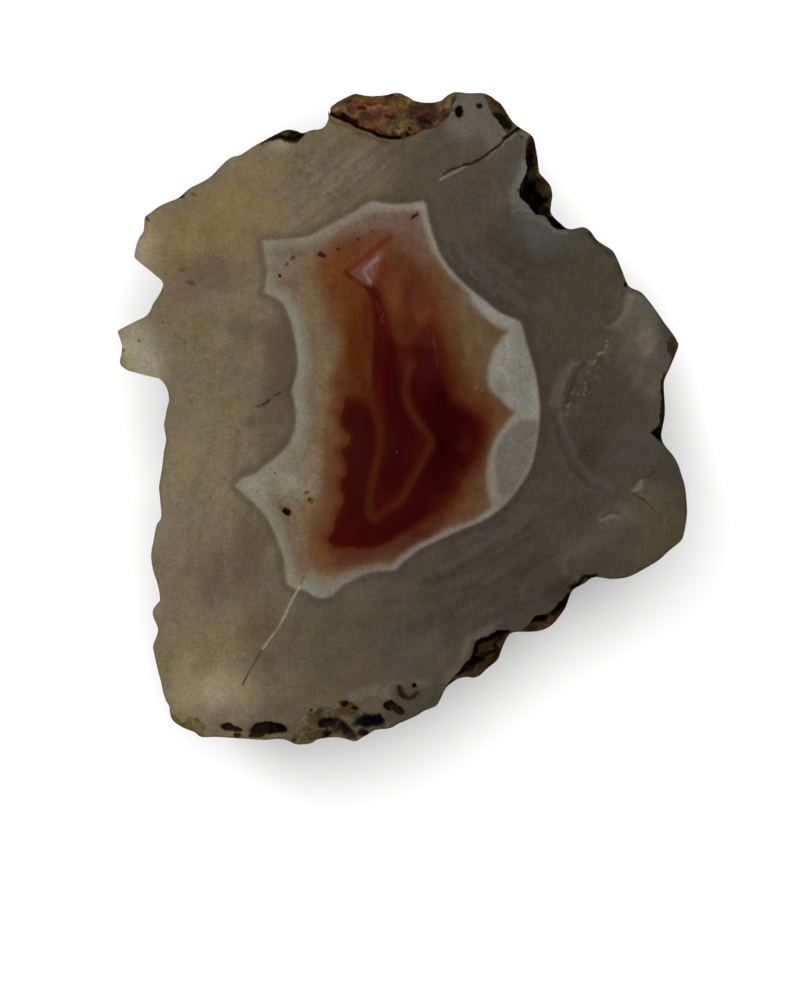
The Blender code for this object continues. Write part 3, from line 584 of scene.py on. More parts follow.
# Sparkling and dark streaks in the grey stone: the line, half width, softness, colour, strength
GLINT_STREAKS = [
    (
        [(20.6, 7.8), (20.1, 6.6), (19.1, 5.0), (18.2, 3.4), (17.0, 1.8), (16.0, 0.2)],
        0.35, 0.45, (112, 108, 88), 0.8,
    ),
    ([(20.6, 5.8), (19.6, 4.2), (18.4, 2.2), (17.4, 0.2)], 0.3, 0.5, (96, 90, 72), 0.55),
    ([(23.6, -6.8), (24.0, -8.0), (25.4, -9.0)], 0.5, 0.6, (98, 92, 68), 0.55),
    ([(19.6, -10.6), (21.0, -10.2), (22.2, -9.4)], 0.4, 0.5, (102, 99, 86), 0.6),
    ([(4.0, 12.6), (5.4, 11.4), (6.6, 10.2)], 0.6, 0.6, (122, 104, 84), 0.6),
    ([(-7.4, 23.0), (-4.0, 26.4)], 1.1, 0.9, (122, 114, 92), 0.4),
    ([(4.8, 16.9), (6.6, 14.6), (8.8, 12.4)], 0.35, 0.5, (92, 84, 82), 0.4),
]
DARK_STREAKS = [
    ([(19.8, 5.4), (18.9, 3.8), (17.8, 2.0)], 0.5, 0.5, (54, 48, 38), 0.45),
    ([(-9.8, 25.6), (-6.4, 23.0)], 1.6, 1.0, (78, 68, 48), 0.35),
    ([(24.0, -8.6), (25.6, -9.8), (26.2, -11.2)], 0.9, 0.8, (62, 52, 32), 0.45),
    ([(-2.6, -18.0), (1.6, -20.4)], 1.2, 1.0, (66, 56, 44), 0.3),
]

# Firmness of the oval patches, and the dashes that the streaks are broken into
SOFT_PATCH = 1.5
FIRM_PATCH = 4.0
DOT_SIZE = 0.26
DOT_SHARE = 0.35
DASH_STRETCH = 2.6
DARK_SEED = 61.0
GLINT_SEED = 71.0

# Uneven light and hue of the grey stone and the centre: size across, light, hue, seed
MOTTLES = [(6.5, 0.035, 0.05, 31.0), (2.6, 0.045, 0.075, 33.0), (1.2, 0.03, 0.05, 35.0)]
CENTRE_MOTTLES = [(0.45, 0.04, 0.04, 81.0), (1.4, 0.05, 0.09, 83.0)]
MOTTLE_CHANNELS = [(2, 50.0)]
CENTRE_CHANNELS = [(1, 50.0), (2, 90.0)]

# Turns and squeezes places, so that noise there makes streaks up to the right
STREAK_WAY = np.array([[0.64, -0.77], [0.44, 1.0]])

# How places are moved about before the soft patches are laid: size across, reach, seed
BODY_WARPS = [(7.0, 1.6, 1.0), (2.2, 0.5, 2.0)]
BODY_LINE_WARPS = [(0.9, 0.16, 21.0)]
CENTRE_WARPS = [(1.8, 0.35, 3.0), (0.7, 0.12, 13.0)]
CENTRE_LINE_WARPS = [(0.8, 0.12, 4.0)]
WHITE_WARPS = [(1.6, 0.3, 25.0)]
CRUST_WARPS = [(0.9, 0.3, 6.0), (0.35, 0.14, 7.0)]
SPECK_WARPS = [(0.3, 0.1, 1.0)]
WARP_SEEDS = 31.0
SPECK_SEEDS = 1.0

# Grey stone from its left to its right tint, and the warmth that the two parts are brought to
GREY_X = (-20.0, 10.0)
GREY_LEAN = 0.15
BODY_WARMTH = np.array([1.035, 1.02, 1.01])
CENTRE_WARMTH = np.array([1.03, 1.01, 1.02])

# Fine parallel streaks: centre, half lengths, turn in degrees, size across, strength, seed
HATCH_STRETCH = 9.0
HATCHINGS = [
    ((-3.5, 24.0), (9.0, 6.0), 38.0, 0.55, 0.15, 91.0),
    ((9.0, 12.5), (7.0, 3.5), -42.0, 0.5, 0.2, 92.0),
    ((10.0, -15.0), (9.0, 4.0), 30.0, 0.5, 0.15, 93.0),
    ((24.0, 6.0), (3.0, 6.0), 60.0, 0.6, 0.12, 94.0),
    ((-19.0, -8.0), (7.0, 12.0), 75.0, 0.6, 0.06, 95.0),
]

# Clear zones of tint in the grey stone: outline, softness of its edge, colour, strength
BODY_ZONES = [
    (
        [
            (5.3, 31.8), (6.8, 32.3), (8.8, 32.2), (9.6, 31.4), (10.2, 30.5), (11.2, 28.8), (10.3, 28.0),
            (9.5, 27.2), (8.7, 26.8), (8.3, 27.8), (7.8, 28.5), (6.8, 28.8), (5.3, 28.8), (4.5, 29.3),
            (4.7, 30.6),
        ],
        0.35, (96, 91, 83), 0.8,
    ),
    (
        [
            (17.9, 5.7), (17.0, 4.8), (16.6, 3.6), (16.2, 2.6), (15.9, 1.3), (15.1, 0.8), (14.7, 1.8),
            (15.2, 3.4), (16.0, 4.8), (16.9, 5.8),
        ],
        0.3, (87, 83, 74), 0.7,
    ),
    (
        [
            (22.6, 12.5), (22.0, 11.8), (21.9, 10.8), (21.6, 10.2), (20.9, 9.5), (20.4, 9.2), (22.0, 8.6),
            (24.0, 8.6), (25.6, 9.6), (25.4, 11.2), (24.0, 12.2),
        ],
        0.2, (89, 85, 71), 0.75,
    ),
    (
        [(22.3, 12.2), (22.9, 12.6), (23.6, 12.2), (22.9, 10.8), (22.2, 9.8), (21.2, 9.2), (22.0, 10.6)],
        0.35, (103, 100, 88), 0.6,
    ),
    (
        [(23.05, -6.95), (23.6, -6.3), (24.2, -6.05), (24.4, -6.4), (23.9, -7.2), (23.3, -7.3)],
        0.22, (112, 108, 90), 0.6,
    ),
    ([(20.0, -10.3), (20.5, -9.8), (21.2, -9.6), (21.6, -9.8), (20.8, -10.2)], 0.14, (100, 97, 84), 0.8),
    (
        [
            (-0.3, -26.7), (0.2, -26.3), (1.0, -26.3), (1.7, -26.9), (1.6, -27.7), (0.8, -28.2),
            (-0.1, -27.9),
        ],
        0.3, (80, 70, 50), 0.6,
    ),
]

# Fine lines and streaks in the grey stone: the line, half width, softness, colour, strength
BODY_LINES = [
    # Painted glint along the lower side of the top crack
    ([(11.3, 28.45), (10.6, 28.0), (9.95, 27.35)], 0.12, 0.12, (130, 121, 104), 0.85),
    ([(9.9, 27.3), (9.3, 26.75), (8.4, 26.0)], 0.08, 0.14, (112, 102, 86), 0.6),
    # Painted glint along the lower side of the top crack
    ([(6.4, 25.15), (5.5, 24.75), (4.7, 24.35), (3.8, 23.8)], 0.1, 0.12, (136, 124, 104), 0.8),
    ([(11.0, 20.5), (11.6, 20.8), (12.6, 20.75), (13.0, 20.5)], 0.08, 0.12, (108, 105, 96), 0.8),
    ([(5.8, 16.8), (6.8, 15.6), (7.8, 14.8), (8.8, 13.7)], 0.4, 0.5, (82, 74, 75), 0.65),
    ([(9.8, 12.8), (11.8, 11.6), (14.3, 11.0)], 0.4, 0.5, (77, 72, 64), 0.6),
    ([(4.6, 17.2), (5.6, 15.9), (6.8, 14.2), (8.6, 12.5), (10.6, 11.2)], 0.25, 0.4, (57, 49, 44), 0.6),
    # Painted glint
    ([(19.6, 6.5), (20.3, 6.55)], 0.12, 0.14, (112, 109, 96), 0.8),
    ([(18.3, 5.5), (17.5, 4.6), (17.15, 3.6), (16.75, 2.6), (16.4, 1.3)], 0.14, 0.24, (54, 48, 39), 0.75),
    ([(22.4, 11.0), (21.8, 9.9), (21.0, 9.3), (20.4, 9.1)], 0.06, 0.12, (98, 95, 83), 0.7),
    ([(22.1, 12.3), (21.9, 11.1), (21.4, 10.2), (20.6, 9.5)], 0.12, 0.3, (58, 53, 44), 0.5),
    ([(-0.35, -26.9), (-0.2, -27.4), (0.15, -27.8)], 0.27, 0.18, (32, 24, 13), 0.92),
    ([(0.3, -27.9), (0.75, -28.0), (1.1, -27.85)], 0.18, 0.18, (34, 26, 14), 0.88),
    ([(1.15, -27.75), (1.5, -27.45)], 0.2, 0.16, (36, 28, 15), 0.85),
    ([(-5.0, -27.9), (-4.0, -27.5), (-2.6, -27.2), (-1.6, -27.6)], 0.5, 0.35, (101, 95, 79), 0.8),
    ([(-1.6, -27.0), (-0.8, -26.3), (-0.2, -26.5)], 0.2, 0.25, (100, 94, 80), 0.6),
    ([(25.3, -5.4), (23.8, -6.2), (23.0, -6.7)], 0.07, 0.14, (52, 47, 38), 0.65),
    ([(23.0, -7.5), (24.2, -8.4), (25.3, -9.2)], 0.08, 0.14, (54, 48, 36), 0.6),
    ([(16.3, -15.4), (16.35, -14.4), (16.6, -13.9)], 0.1, 0.14, (92, 96, 86), 0.7),
    # Painted glint of a fracture, a long pale curve
    (
        [
            (15.8, 1.3), (16.0, -0.2), (16.4, -1.7), (17.0, -2.9), (17.5, -4.2), (18.3, -5.2),
            (19.0, -6.0), (19.8, -6.2), (21.0, -7.2),
        ],
        0.14, 0.4, (80, 82, 76), 0.75,
    ),
    (
        [(15.0, -0.6), (15.3, -2.4), (15.9, -4.0), (16.8, -5.6), (18.0, -6.8), (19.4, -7.6)],
        0.2, 0.4, (78, 74, 66), 0.45,
    ),
    ([(15.4, -1.2), (16.1, -3.3), (16.9, -4.8), (18.0, -6.0)], 0.12, 0.3, (56, 51, 42), 0.5),
    # Painted glint
    ([(23.0, -7.3), (23.6, -7.0), (24.0, -6.4)], 0.13, 0.14, (108, 109, 94), 0.85),
    # Painted glint
    ([(20.0, -10.2), (20.6, -10.0), (21.3, -9.8)], 0.15, 0.16, (100, 97, 85), 0.85),
    ([(20.1, -9.85), (21.0, -9.6), (21.8, -9.35)], 0.06, 0.14, (54, 48, 38), 0.6),
    ([(23.2, -7.7), (24.3, -8.2)], 0.09, 0.16, (48, 42, 34), 0.7),
    (
        [(16.3, -15.4), (16.4, -14.2), (17.3, -13.4), (18.3, -12.7), (19.8, -12.0), (21.8, -11.7)],
        0.25, 0.6, (80, 81, 72), 0.6,
    ),
    ([(3.8, -15.2), (6.8, -13.7), (9.8, -11.2), (12.3, -9.7), (14.3, -9.0)], 0.25, 0.4, (81, 75, 67), 0.55),
    ([(6.8, -17.7), (8.8, -16.2), (10.3, -15.2)], 0.3, 0.45, (78, 72, 63), 0.5),
    ([(1.5, -16.4), (4.4, -15.9), (7.0, -14.6)], 0.15, 0.4, (60, 51, 44), 0.45),
    ([(18.7, 18.5), (19.4, 17.75), (20.0, 17.25)], 0.22, 0.14, (60, 42, 30), 0.85),
    ([(20.4, 16.7), (21.0, 16.2)], 0.16, 0.14, (60, 46, 34), 0.8),
    ([(21.7, 15.3), (22.0, 14.3)], 0.18, 0.14, (60, 57, 43), 0.8),
    ([(-16.4, -1.4), (-16.8, -4.2), (-16.9, -5.7)], 0.2, 0.35, (99, 85, 67), 0.6),
    ([(-5.7, 20.3), (-3.2, 23.4), (-0.7, 26.3)], 0.12, 0.4, (112, 103, 86), 0.45),
    ([(-8.2, 22.0), (-6.6, 23.4), (-5.2, 24.6)], 0.08, 0.2, (116, 108, 86), 0.45),
    ([(-7.0, 21.6), (-5.6, 22.9), (-4.2, 24.2)], 0.08, 0.2, (114, 106, 86), 0.4),
    ([(-9.4, 22.6), (-7.6, 24.2), (-6.0, 25.7)], 0.06, 0.2, (90, 76, 58), 0.35),
    ([(-20.4, -30.3), (-19.95, -31.0)], 0.22, 0.18, (74, 58, 36), 0.8),
    ([(16.9, -17.0), (17.8, -16.5), (18.3, -15.9), (19.3, -15.75)], 0.18, 0.12, (12, 8, 6), 0.9),
    (
        [
            (-7.3, 29.9), (-6.6, 29.45), (-5.7, 29.25), (-4.4, 28.6), (-3.2, 28.1), (-2.2, 27.65),
            (-1.2, 27.55),
        ],
        0.14, 0.2, (84, 62, 34), 0.8,
    ),
    ([(-1.2, 27.5), (0.6, 27.5), (1.6, 27.9)], 0.1, 0.2, (96, 82, 62), 0.6),
    ([(9.3, 26.2), (10.4, 26.9), (11.3, 27.6)], 0.12, 0.3, (86, 78, 68), 0.5),
    (
        [(12.6, 20.2), (13.6, 19.9), (14.6, 19.3), (15.4, 18.7), (16.4, 18.5)],
        0.14, 0.16, (104, 99, 86), 0.6,
    ),
    (
        [(11.2, 21.6), (11.1, 22.6), (11.4, 23.6), (12.0, 24.6), (12.2, 25.4)],
        0.22, 0.5, (108, 109, 105), 0.8,
    ),
    # Painted glint of a fracture along the crescent's left edge
    ([(17.3, 5.6), (16.6, 4.6), (16.1, 3.4), (15.8, 2.2)], 0.05, 0.16, (104, 101, 88), 0.6),
]

# Pale and dark bands in the grey stone that follow the white one, at a distance outside it
OUTER_BANDS = [
    ("lilac", 3.5, 0.5, (9.0, 12.5), 5.0, (86, 76, 68), 0.55),
    ("grey", 5.2, 0.35, (12.0, 12.0), 6.0, (80, 72, 62), 0.3),
    ("low pale", 2.4, 0.35, (9.0, -13.5), 8.0, (84, 76, 68), 0.35),
    ("low dark", 3.4, 0.4, (6.0, -16.0), 9.0, (60, 51, 44), 0.35),
    ("low pale outer", 4.8, 0.4, (8.0, -17.0), 8.0, (82, 74, 66), 0.3),
    ("low dark outer", 6.2, 0.5, (5.0, -19.0), 9.0, (62, 54, 45), 0.3),
]

# Soft stains of the centre, inside the white band
CENTRE_CREAM = (110, 91, 65)
CENTRE_TAN = (97, 76, 51)
CENTRE_PATCHES = [
    ("pink top", (0.0, 19.6), (5.0, 1.9), 0.0, (108, 86, 70), 0.9),
    ("grey pink upper left", (-11.0, 16.0), (2.6, 1.8), 20.0, (112, 96, 78), 0.7),
    ("cream left", (-8.2, 7.5), (1.6, 6.0), 0.0, (114, 97, 70), 0.8),
    ("yellow cream lower left", (-10.0, -4.2), (2.0, 2.2), 40.0, (124, 111, 82), 0.85),
    ("pale low left", (-10.0, -7.0), (2.6, 2.6), 0.0, (122, 108, 84), 0.85),
    ("white glow lower left", (-11.6, -6.3), (1.7, 2.3), 30.0, (134, 128, 108), 0.9),
    ("cream upper left", (-8.6, 12.2), (1.7, 2.4), 0.0, (115, 98, 73), 0.85),
    ("pale corner on the upper left", (-11.8, 15.2), (1.3, 1.3), 0.0, (124, 111, 94), 0.85),
    ("tan low left", (-9.0, -11.0), (1.8, 3.0), 10.0, (117, 95, 67), 0.8),
    ("rosy tan low right", (4.6, -10.3), (3.0, 0.9), 33.0, (96, 74, 58), 0.6),
    ("tan right", (8.2, 6.4), (3.0, 5.0), 0.0, (98, 78, 52), 0.7),
    ("tan upper right", (4.6, 12.6), (1.4, 3.6), 35.0, (97, 72, 47), 0.8),
]
ORANGE_ARCS = [
    [
        (-7.4, 16.4), (-5.0, 17.8), (-1.4, 18.2), (0.8, 17.0), (2.4, 14.8), (4.0, 12.0), (5.3, 8.6),
        (5.4, 6.2), (6.4, 3.8), (9.2, 2.0), (10.2, 0.7), (8.9, -1.3), (7.7, -4.8), (7.4, -7.5),
        (4.5, -10.3), (0.4, -13.1), (-2.4, -14.7), (-5.9, -15.0), (-8.1, -13.6), (-7.9, -11.0),
        (-7.2, -8.2), (-6.9, -4.8), (-6.7, -1.3), (-6.4, 2.1), (-5.9, 5.6), (-6.3, 9.0), (-7.6, 11.8),
        (-8.0, 14.5),
    ],
]
ORANGE_EDGE = 1.6
ORANGE = (90, 52, 24)
ORANGE_PATCHES = [
    ("orange top left", (-5.8, 14.8), (2.8, 2.4), 20.0, (103, 59, 26), 0.9),
    ("orange upper left", (-5.8, 11.0), (1.4, 2.6), 0.0, (98, 60, 28), 0.7),
    ("red orange round the kite", (-3.2, 14.6), (2.2, 2.8), 0.0, (98, 47, 22), 0.85),
    ("orange above the kite", (-2.4, 17.2), (2.6, 1.4), 10.0, (102, 66, 42), 0.85),
    ("red above the kite", (-2.2, 17.0), (0.4, 1.2), -35.0, (100, 46, 26), 0.4),
    ("pink brown upper right", (1.4, 17.0), (1.8, 1.8), 0.0, (103, 80, 64), 0.8),
    ("brown top right", (0.4, 14.6), (1.4, 2.6), 0.0, (88, 48, 26), 0.8),
    ("orange right of the thread", (-0.6, 11.2), (1.3, 2.8), 5.0, (93, 46, 20), 0.9),
    ("brown orange further right", (1.7, 11.2), (1.2, 2.8), 10.0, (82, 40, 18), 0.9),
    ("red orange upper right", (3.2, 9.4), (1.0, 2.2), 15.0, (86, 44, 20), 0.85),
    ("brown between the stripes", (0.6, 8.6), (1.3, 2.0), 3.0, (76, 34, 18), 0.95),
    ("yellow orange band top", (-4.5, 11.2), (1.1, 2.1), 0.0, (101, 56, 17), 0.95),
    ("ochre band", (-4.5, 6.8), (1.25, 4.4), 0.0, (82, 37, 9), 0.98),
    ("ochre band right", (-3.4, 9.6), (0.5, 3.4), 0.0, (80, 30, 12), 0.7),
    ("yellow ochre right", (5.2, 7.6), (1.0, 2.2), 5.0, (89, 59, 24), 0.85),
    ("orange brown right", (5.7, 3.7), (1.3, 2.2), 0.0, (76, 42, 19), 0.8),
    ("ochre low right", (7.6, -5.0), (1.2, 3.2), -10.0, (84, 58, 36), 0.9),
    ("brown right", (7.7, 0.9), (1.0, 1.4), 0.0, (75, 44, 25), 0.7),
    ("orange low", (-4.5, -14.2), (3.0, 0.9), 10.0, (82, 47, 24), 0.9),
    ("orange low left", (-8.2, -12.0), (1.1, 3.0), 0.0, (95, 58, 27), 0.8),
    ("orange beside the strip", (-7.3, -5.5), (0.9, 4.0), 0.0, (88, 51, 27), 0.6),
    ("rosy tan above the lobe", (6.6, 11.6), (1.4, 1.6), 40.0, (108, 89, 72), 0.8),
    ("red brown low right", (1.6, -11.8), (3.4, 0.9), 33.0, (66, 36, 26), 0.8),
    ("bright streak right of the thread", (-0.9, 12.4), (0.8, 1.7), -8.0, (103, 58, 26), 0.85),
    ("dark streak beside it", (0.5, 12.0), (0.5, 1.7), -14.0, (76, 38, 20), 0.7),
    ("bright orange on the upper right", (2.4, 10.1), (1.3, 0.8), -20.0, (104, 58, 24), 0.7),
    ("orange left shoulder", (-6.3, 3.4), (0.9, 2.0), 0.0, (87, 48, 24), 0.9),
    ("orange left of the strip", (-6.6, 0.8), (0.7, 1.0), 0.0, (98, 56, 29), 0.8),
    ("brown at the right tip", (7.9, -2.2), (0.9, 1.4), 0.0, (79, 46, 30), 0.8),
]
FRINGE = (79, 31, 8)
FRINGE_OUT = 0.75
FRINGE_IN = 0.35
RED_EDGE_LEFT = 0.42
RED_EDGE_RIGHT = 1.15
RED_EDGE_TOP = 0.75
RED_SET_BACK = 0.35
RED_REACH_ON = 0.45
LEFT_STRIP_TOP = (0.4, 3.2)
RED = (56, 11, 6)
RED_PATCHES = [
    ("maroon right", (4.6, -1.5), (2.6, 4.2), 10.0, (41, 1, 2), 0.95),
    ("dark right low", (3.6, -6.0), (2.0, 2.6), -30.0, (45, 5, 4), 0.85),
    ("purple right upper", (2.5, 5.0), (1.1, 3.0), 8.0, (58, 18, 17), 0.9),
    ("purple shoulder", (3.6, 2.2), (1.2, 1.6), 20.0, (40, 4, 10), 0.7),
    ("dark centre stripe", (-1.1, 4.0), (1.0, 3.2), 5.0, (51, 3, 2), 0.95),
    ("dark core", (-0.3, -0.6), (1.0, 2.6), 5.0, (52, 3, 3), 0.9),
    ("core purple", (-0.5, -3.6), (0.9, 2.4), 5.0, (49, 11, 14), 0.85),
    ("core low", (-1.2, -6.2), (0.8, 1.2), 20.0, (47, 5, 4), 0.8),
    ("red tip", (-1.7, -7.9), (1.0, 0.7), 30.0, (68, 12, 5), 0.85),
    ("brown left strip", (-4.8, -4.0), (0.9, 6.4), 0.0, (54, 18, 11), 0.9),
    ("purple left strip", (-4.6, -2.6), (0.6, 3.2), 0.0, (52, 15, 17), 0.6),
    ("red left strip top", (-5.4, 2.4), (0.9, 1.6), 0.0, (64, 16, 5), 0.8),
    ("red beside the left limb", (-3.6, -1.0), (0.3, 5.0), 3.0, (60, 13, 6), 0.6),
    ("red low left", (-6.2, -12.0), (1.6, 0.9), -5.0, (64, 10, 5), 0.9),
    ("red bottom edge", (-3.6, -12.5), (3.2, 0.45), 6.0, (62, 6, 5), 0.8),
    ("purple red low", (0.6, -10.0), (3.0, 0.8), 33.0, (48, 9, 9), 0.8),
    ("maroon lobe", (6.3, -0.1), (1.1, 1.4), 10.0, (52, 10, 16), 0.75),
    ("brown between the stripes, low", (0.3, 6.0), (1.0, 1.8), 5.0, (70, 25, 12), 0.9),
    ("red orange inside the limb", (-2.0, 0.6), (0.3, 3.2), 8.0, (66, 16, 4), 0.6),
    ("bright red left of the core", (-2.3, 3.6), (0.6, 1.8), -5.0, (72, 15, 4), 0.85),
    ("blackish red in the core", (-0.2, 3.2), (0.6, 1.6), 5.0, (49, 4, 2), 0.8),
    ("ochre inside the loop", (1.6, -2.4), (0.5, 1.3), -20.0, (62, 23, 6), 0.7),
    ("brown red low right", (5.9, -5.2), (0.6, 1.6), -35.0, (62, 22, 13), 0.8),
    ("brown red below it", (3.8, -8.2), (1.2, 0.5), 38.0, (63, 23, 14), 0.8),
    ("plum in the right lobe", (4.4, 0.4), (1.3, 0.5), 30.0, (46, 8, 14), 0.6),
    ("black red spot", (3.9, -3.3), (0.9, 0.6), 20.0, (34, 0, 1), 0.7),
    ("brown streak in the core", (-1.0, -1.6), (0.35, 1.8), 4.0, (60, 18, 8), 0.6),
    ("red streak in the core", (0.3, -3.6), (0.3, 1.6), -12.0, (64, 12, 4), 0.6),
    ("lighter red at the right shoulder", (2.5, 8.0), (0.9, 1.2), 0.0, (84, 34, 22), 0.7),
    ("lighter red at the right", (6.4, -2.4), (0.9, 1.4), 0.0, (60, 20, 15), 0.8),
    ("red brown upper stripe", (-2.0, 8.4), (0.6, 1.6), 0.0, (74, 20, 10), 0.7),
]

# The ochre loop in the red, and where the tints of the centre turn, as from and to
OCHRE = (70, 32, 9)
OCHRE_WIDTH = 0.42
OCHRE_EDGE = 0.42
OCHRE_UPPER = (84, 46, 18)
CENTRE_X = (-7.0, 6.0)
RED_REACH_X = (-4.0, 0.0)
RED_REACH_Y = (2.0, -3.0)
RED_SET_BACK_X = (-4.0, -5.0)
RED_EDGE_X = (0.5, 5.0)
RED_TOP_Y = (3.0, 8.0)
LEFT_STRIP_X = (-2.6, -3.4)
FRINGE_STRENGTH = 0.9
OCHRE_STRENGTH = 0.95
OCHRE_LOWER_Y = (2.0, 6.0)
OCHRE_UPPER_STRENGTH = 0.5
OCHRE_UPPER_Y = (1.0, 5.0)
OCHRE_UPPER_X = -1.5

# Small pale quartz patch near the top of the centre: outline, softness of its edge, strength, colour
KITE_ARCS = [
    [(-2.1, 16.4)],
    [(-3.4, 15.9), (-5.4, 14.6)],
    [(-4.4, 13.7), (-3.15, 13.1)],
    [(-2.6, 14.2), (-2.1, 16.4)],
]
KITE_EDGE = (-0.25, 0.3)
KITE_STRENGTH = 0.85
KITE_PINK = (104, 68, 56)

# Fine lines of the centre, among them painted pink glints, and painted glints of the quartz patch: line,
# half width, softness, colour, strength
CENTRE_LINES = [
    ([(-5.6, 14.6), (-4.6, 13.85), (-3.3, 13.0)], 0.2, 0.3, (62, 16, 8), 0.85),
    ([(-5.6, 14.6), (-4.4, 15.6), (-3.2, 16.6), (-1.8, 17.6), (-1.1, 18.2)], 0.15, 0.35, (94, 30, 14), 0.8),
    ([(-2.0, 16.2), (-1.6, 15.0), (-2.2, 13.6)], 0.15, 0.4, (92, 34, 16), 0.6),
    ([(-12.1, -8.9), (-12.15, -8.2), (-11.6, -7.85), (-11.0, -7.8)], 0.04, 0.12, (86, 66, 44), 0.6),
    ([(-11.1, -7.8), (-10.3, -8.5), (-9.6, -9.3)], 0.04, 0.12, (88, 68, 46), 0.6),
    (
        [(-3.3, 13.0), (-2.7, 11.8), (-2.2, 10.4), (-2.0, 9.2), (-1.9, 7.6), (-1.6, 6.2)],
        0.32, 0.4, (66, 12, 4), 0.85,
    ),
    # Painted pink glints beside the thread
    ([(-2.6, 11.6), (-2.3, 10.8)], 0.05, 0.16, (112, 64, 50), 0.7),
    ([(-2.1, 10.2), (-1.95, 9.5)], 0.05, 0.16, (112, 64, 50), 0.7),
    ([(2.8, 10.2), (3.5, 8.8), (4.0, 7.2), (4.2, 5.6), (4.0, 4.4)], 0.15, 0.35, (78, 28, 16), 0.5),
    # Painted pink glint beside the thread
    ([(-2.45, 11.6), (-2.15, 10.8), (-1.9, 10.2)], 0.03, 0.16, (112, 64, 50), 0.5),
    ([(-4.7, 14.3), (-4.0, 13.9), (-3.8, 13.6)], 0.06, 0.14, (84, 24, 10), 0.7),
    ([(-5.0, 12.9), (-4.6, 10.6), (-4.7, 8.4)], 0.08, 0.25, (76, 36, 16), 0.4),
    ([(-3.9, 12.4), (-3.7, 10.4), (-3.6, 8.4), (-3.5, 6.6)], 0.08, 0.25, (66, 24, 14), 0.6),
    ([(1.0, 12.8), (1.3, 11.4), (1.5, 10.2)], 0.08, 0.2, (104, 58, 30), 0.5),
    ([(5.7, 11.0), (6.2, 9.2), (6.4, 7.2), (6.3, 5.2)], 0.08, 0.25, (112, 86, 56), 0.45),
    ([(6.6, 11.2), (7.2, 9.4), (7.3, 7.4), (7.2, 5.6)], 0.1, 0.3, (84, 62, 38), 0.4),
    ([(-6.9, 4.2), (-6.8, 1.2), (-7.0, -2.0), (-7.1, -5.2)], 0.1, 0.3, (104, 72, 44), 0.4),
    ([(-4.9, 1.4), (-5.0, -1.8), (-4.8, -5.2), (-4.9, -8.6)], 0.08, 0.2, (44, 10, 10), 0.5),
    ([(-4.2, 0.8), (-4.0, -2.4), (-3.9, -5.6)], 0.08, 0.2, (66, 24, 10), 0.45),
    ([(-3.0, -11.2), (-1.0, -10.2), (1.2, -8.9), (3.2, -7.0)], 0.1, 0.25, (64, 14, 8), 0.5),
    ([(-2.2, -11.8), (0.2, -10.8), (2.2, -9.6)], 0.1, 0.25, (40, 6, 8), 0.5),
    ([(2.2, 9.2), (2.9, 8.2), (3.4, 7.1), (3.6, 6.0), (3.5, 5.2)], 0.05, 0.2, (100, 56, 46), 0.75),
    ([(4.4, -2.8), (5.4, -2.9), (6.6, -3.0)], 0.02, 0.1, (84, 48, 42), 0.6),
    ([(-0.7, 15.8), (0.2, 17.2), (0.9, 18.4)], 0.06, 0.3, (110, 70, 46), 0.4),
]
KITE_GLINTS = [
    ([(-2.2, 16.3), (-2.8, 15.6), (-3.5, 14.9)], 0.25, 0.4, (120, 98, 90), 0.7),
    ([(-2.45, 16.1), (-3.1, 15.4), (-3.9, 14.75)], 0.07, 0.2, (150, 134, 128), 0.85),
    ([(-3.75, 14.5), (-3.4, 14.0), (-3.1, 13.5)], 0.1, 0.2, (142, 124, 116), 0.85),
    ([(-2.9, 15.0), (-3.0, 14.4)], 0.06, 0.2, (134, 112, 102), 0.6),
]

# The white band: where its tints turn, and its soft patches
WHITE_TOP_Y = (12.0, 19.0)
LOBE_X = (3.0, 8.0)
LOBE_Y = (-6.0, 2.0)
WHITE_LOW_X = (-10.0, -5.0)
WHITE_LOW_Y = (-9.0, -12.0)
WHITE_INNER_DEPTH = (0.55, 1.1)
WHITE_INNER_X = (-13.5, -10.0)
WHITE_INNER_STRENGTH = 0.3
WHITE_PATCHES = [
    ("grey right of the lobe's top", (11.9, 8.3), (1.0, 1.4), 0.0, (116, 116, 109), 0.85),
    ("grey right side", (12.0, 3.4), (1.3, 4.4), 0.0, (122, 120, 108), 0.8),
    ("grey inner side", (9.9, 3.2), (0.8, 1.2), 0.0, (118, 114, 97), 0.8),
    ("grey foot of the lobe", (9.9, -8.4), (1.3, 0.7), 25.0, (113, 109, 105), 0.85),
    ("cream tip on the left", (-15.2, -6.6), (1.4, 0.8), 0.0, (141, 138, 122), 0.6),
    ("cream by the lower left cusp", (-11.4, -14.6), (0.6, 1.8), 10.0, (128, 120, 102), 0.6),
    ("grey low middle", (-3.0, -15.3), (2.6, 0.5), 10.0, (112, 108, 96), 0.6),
]

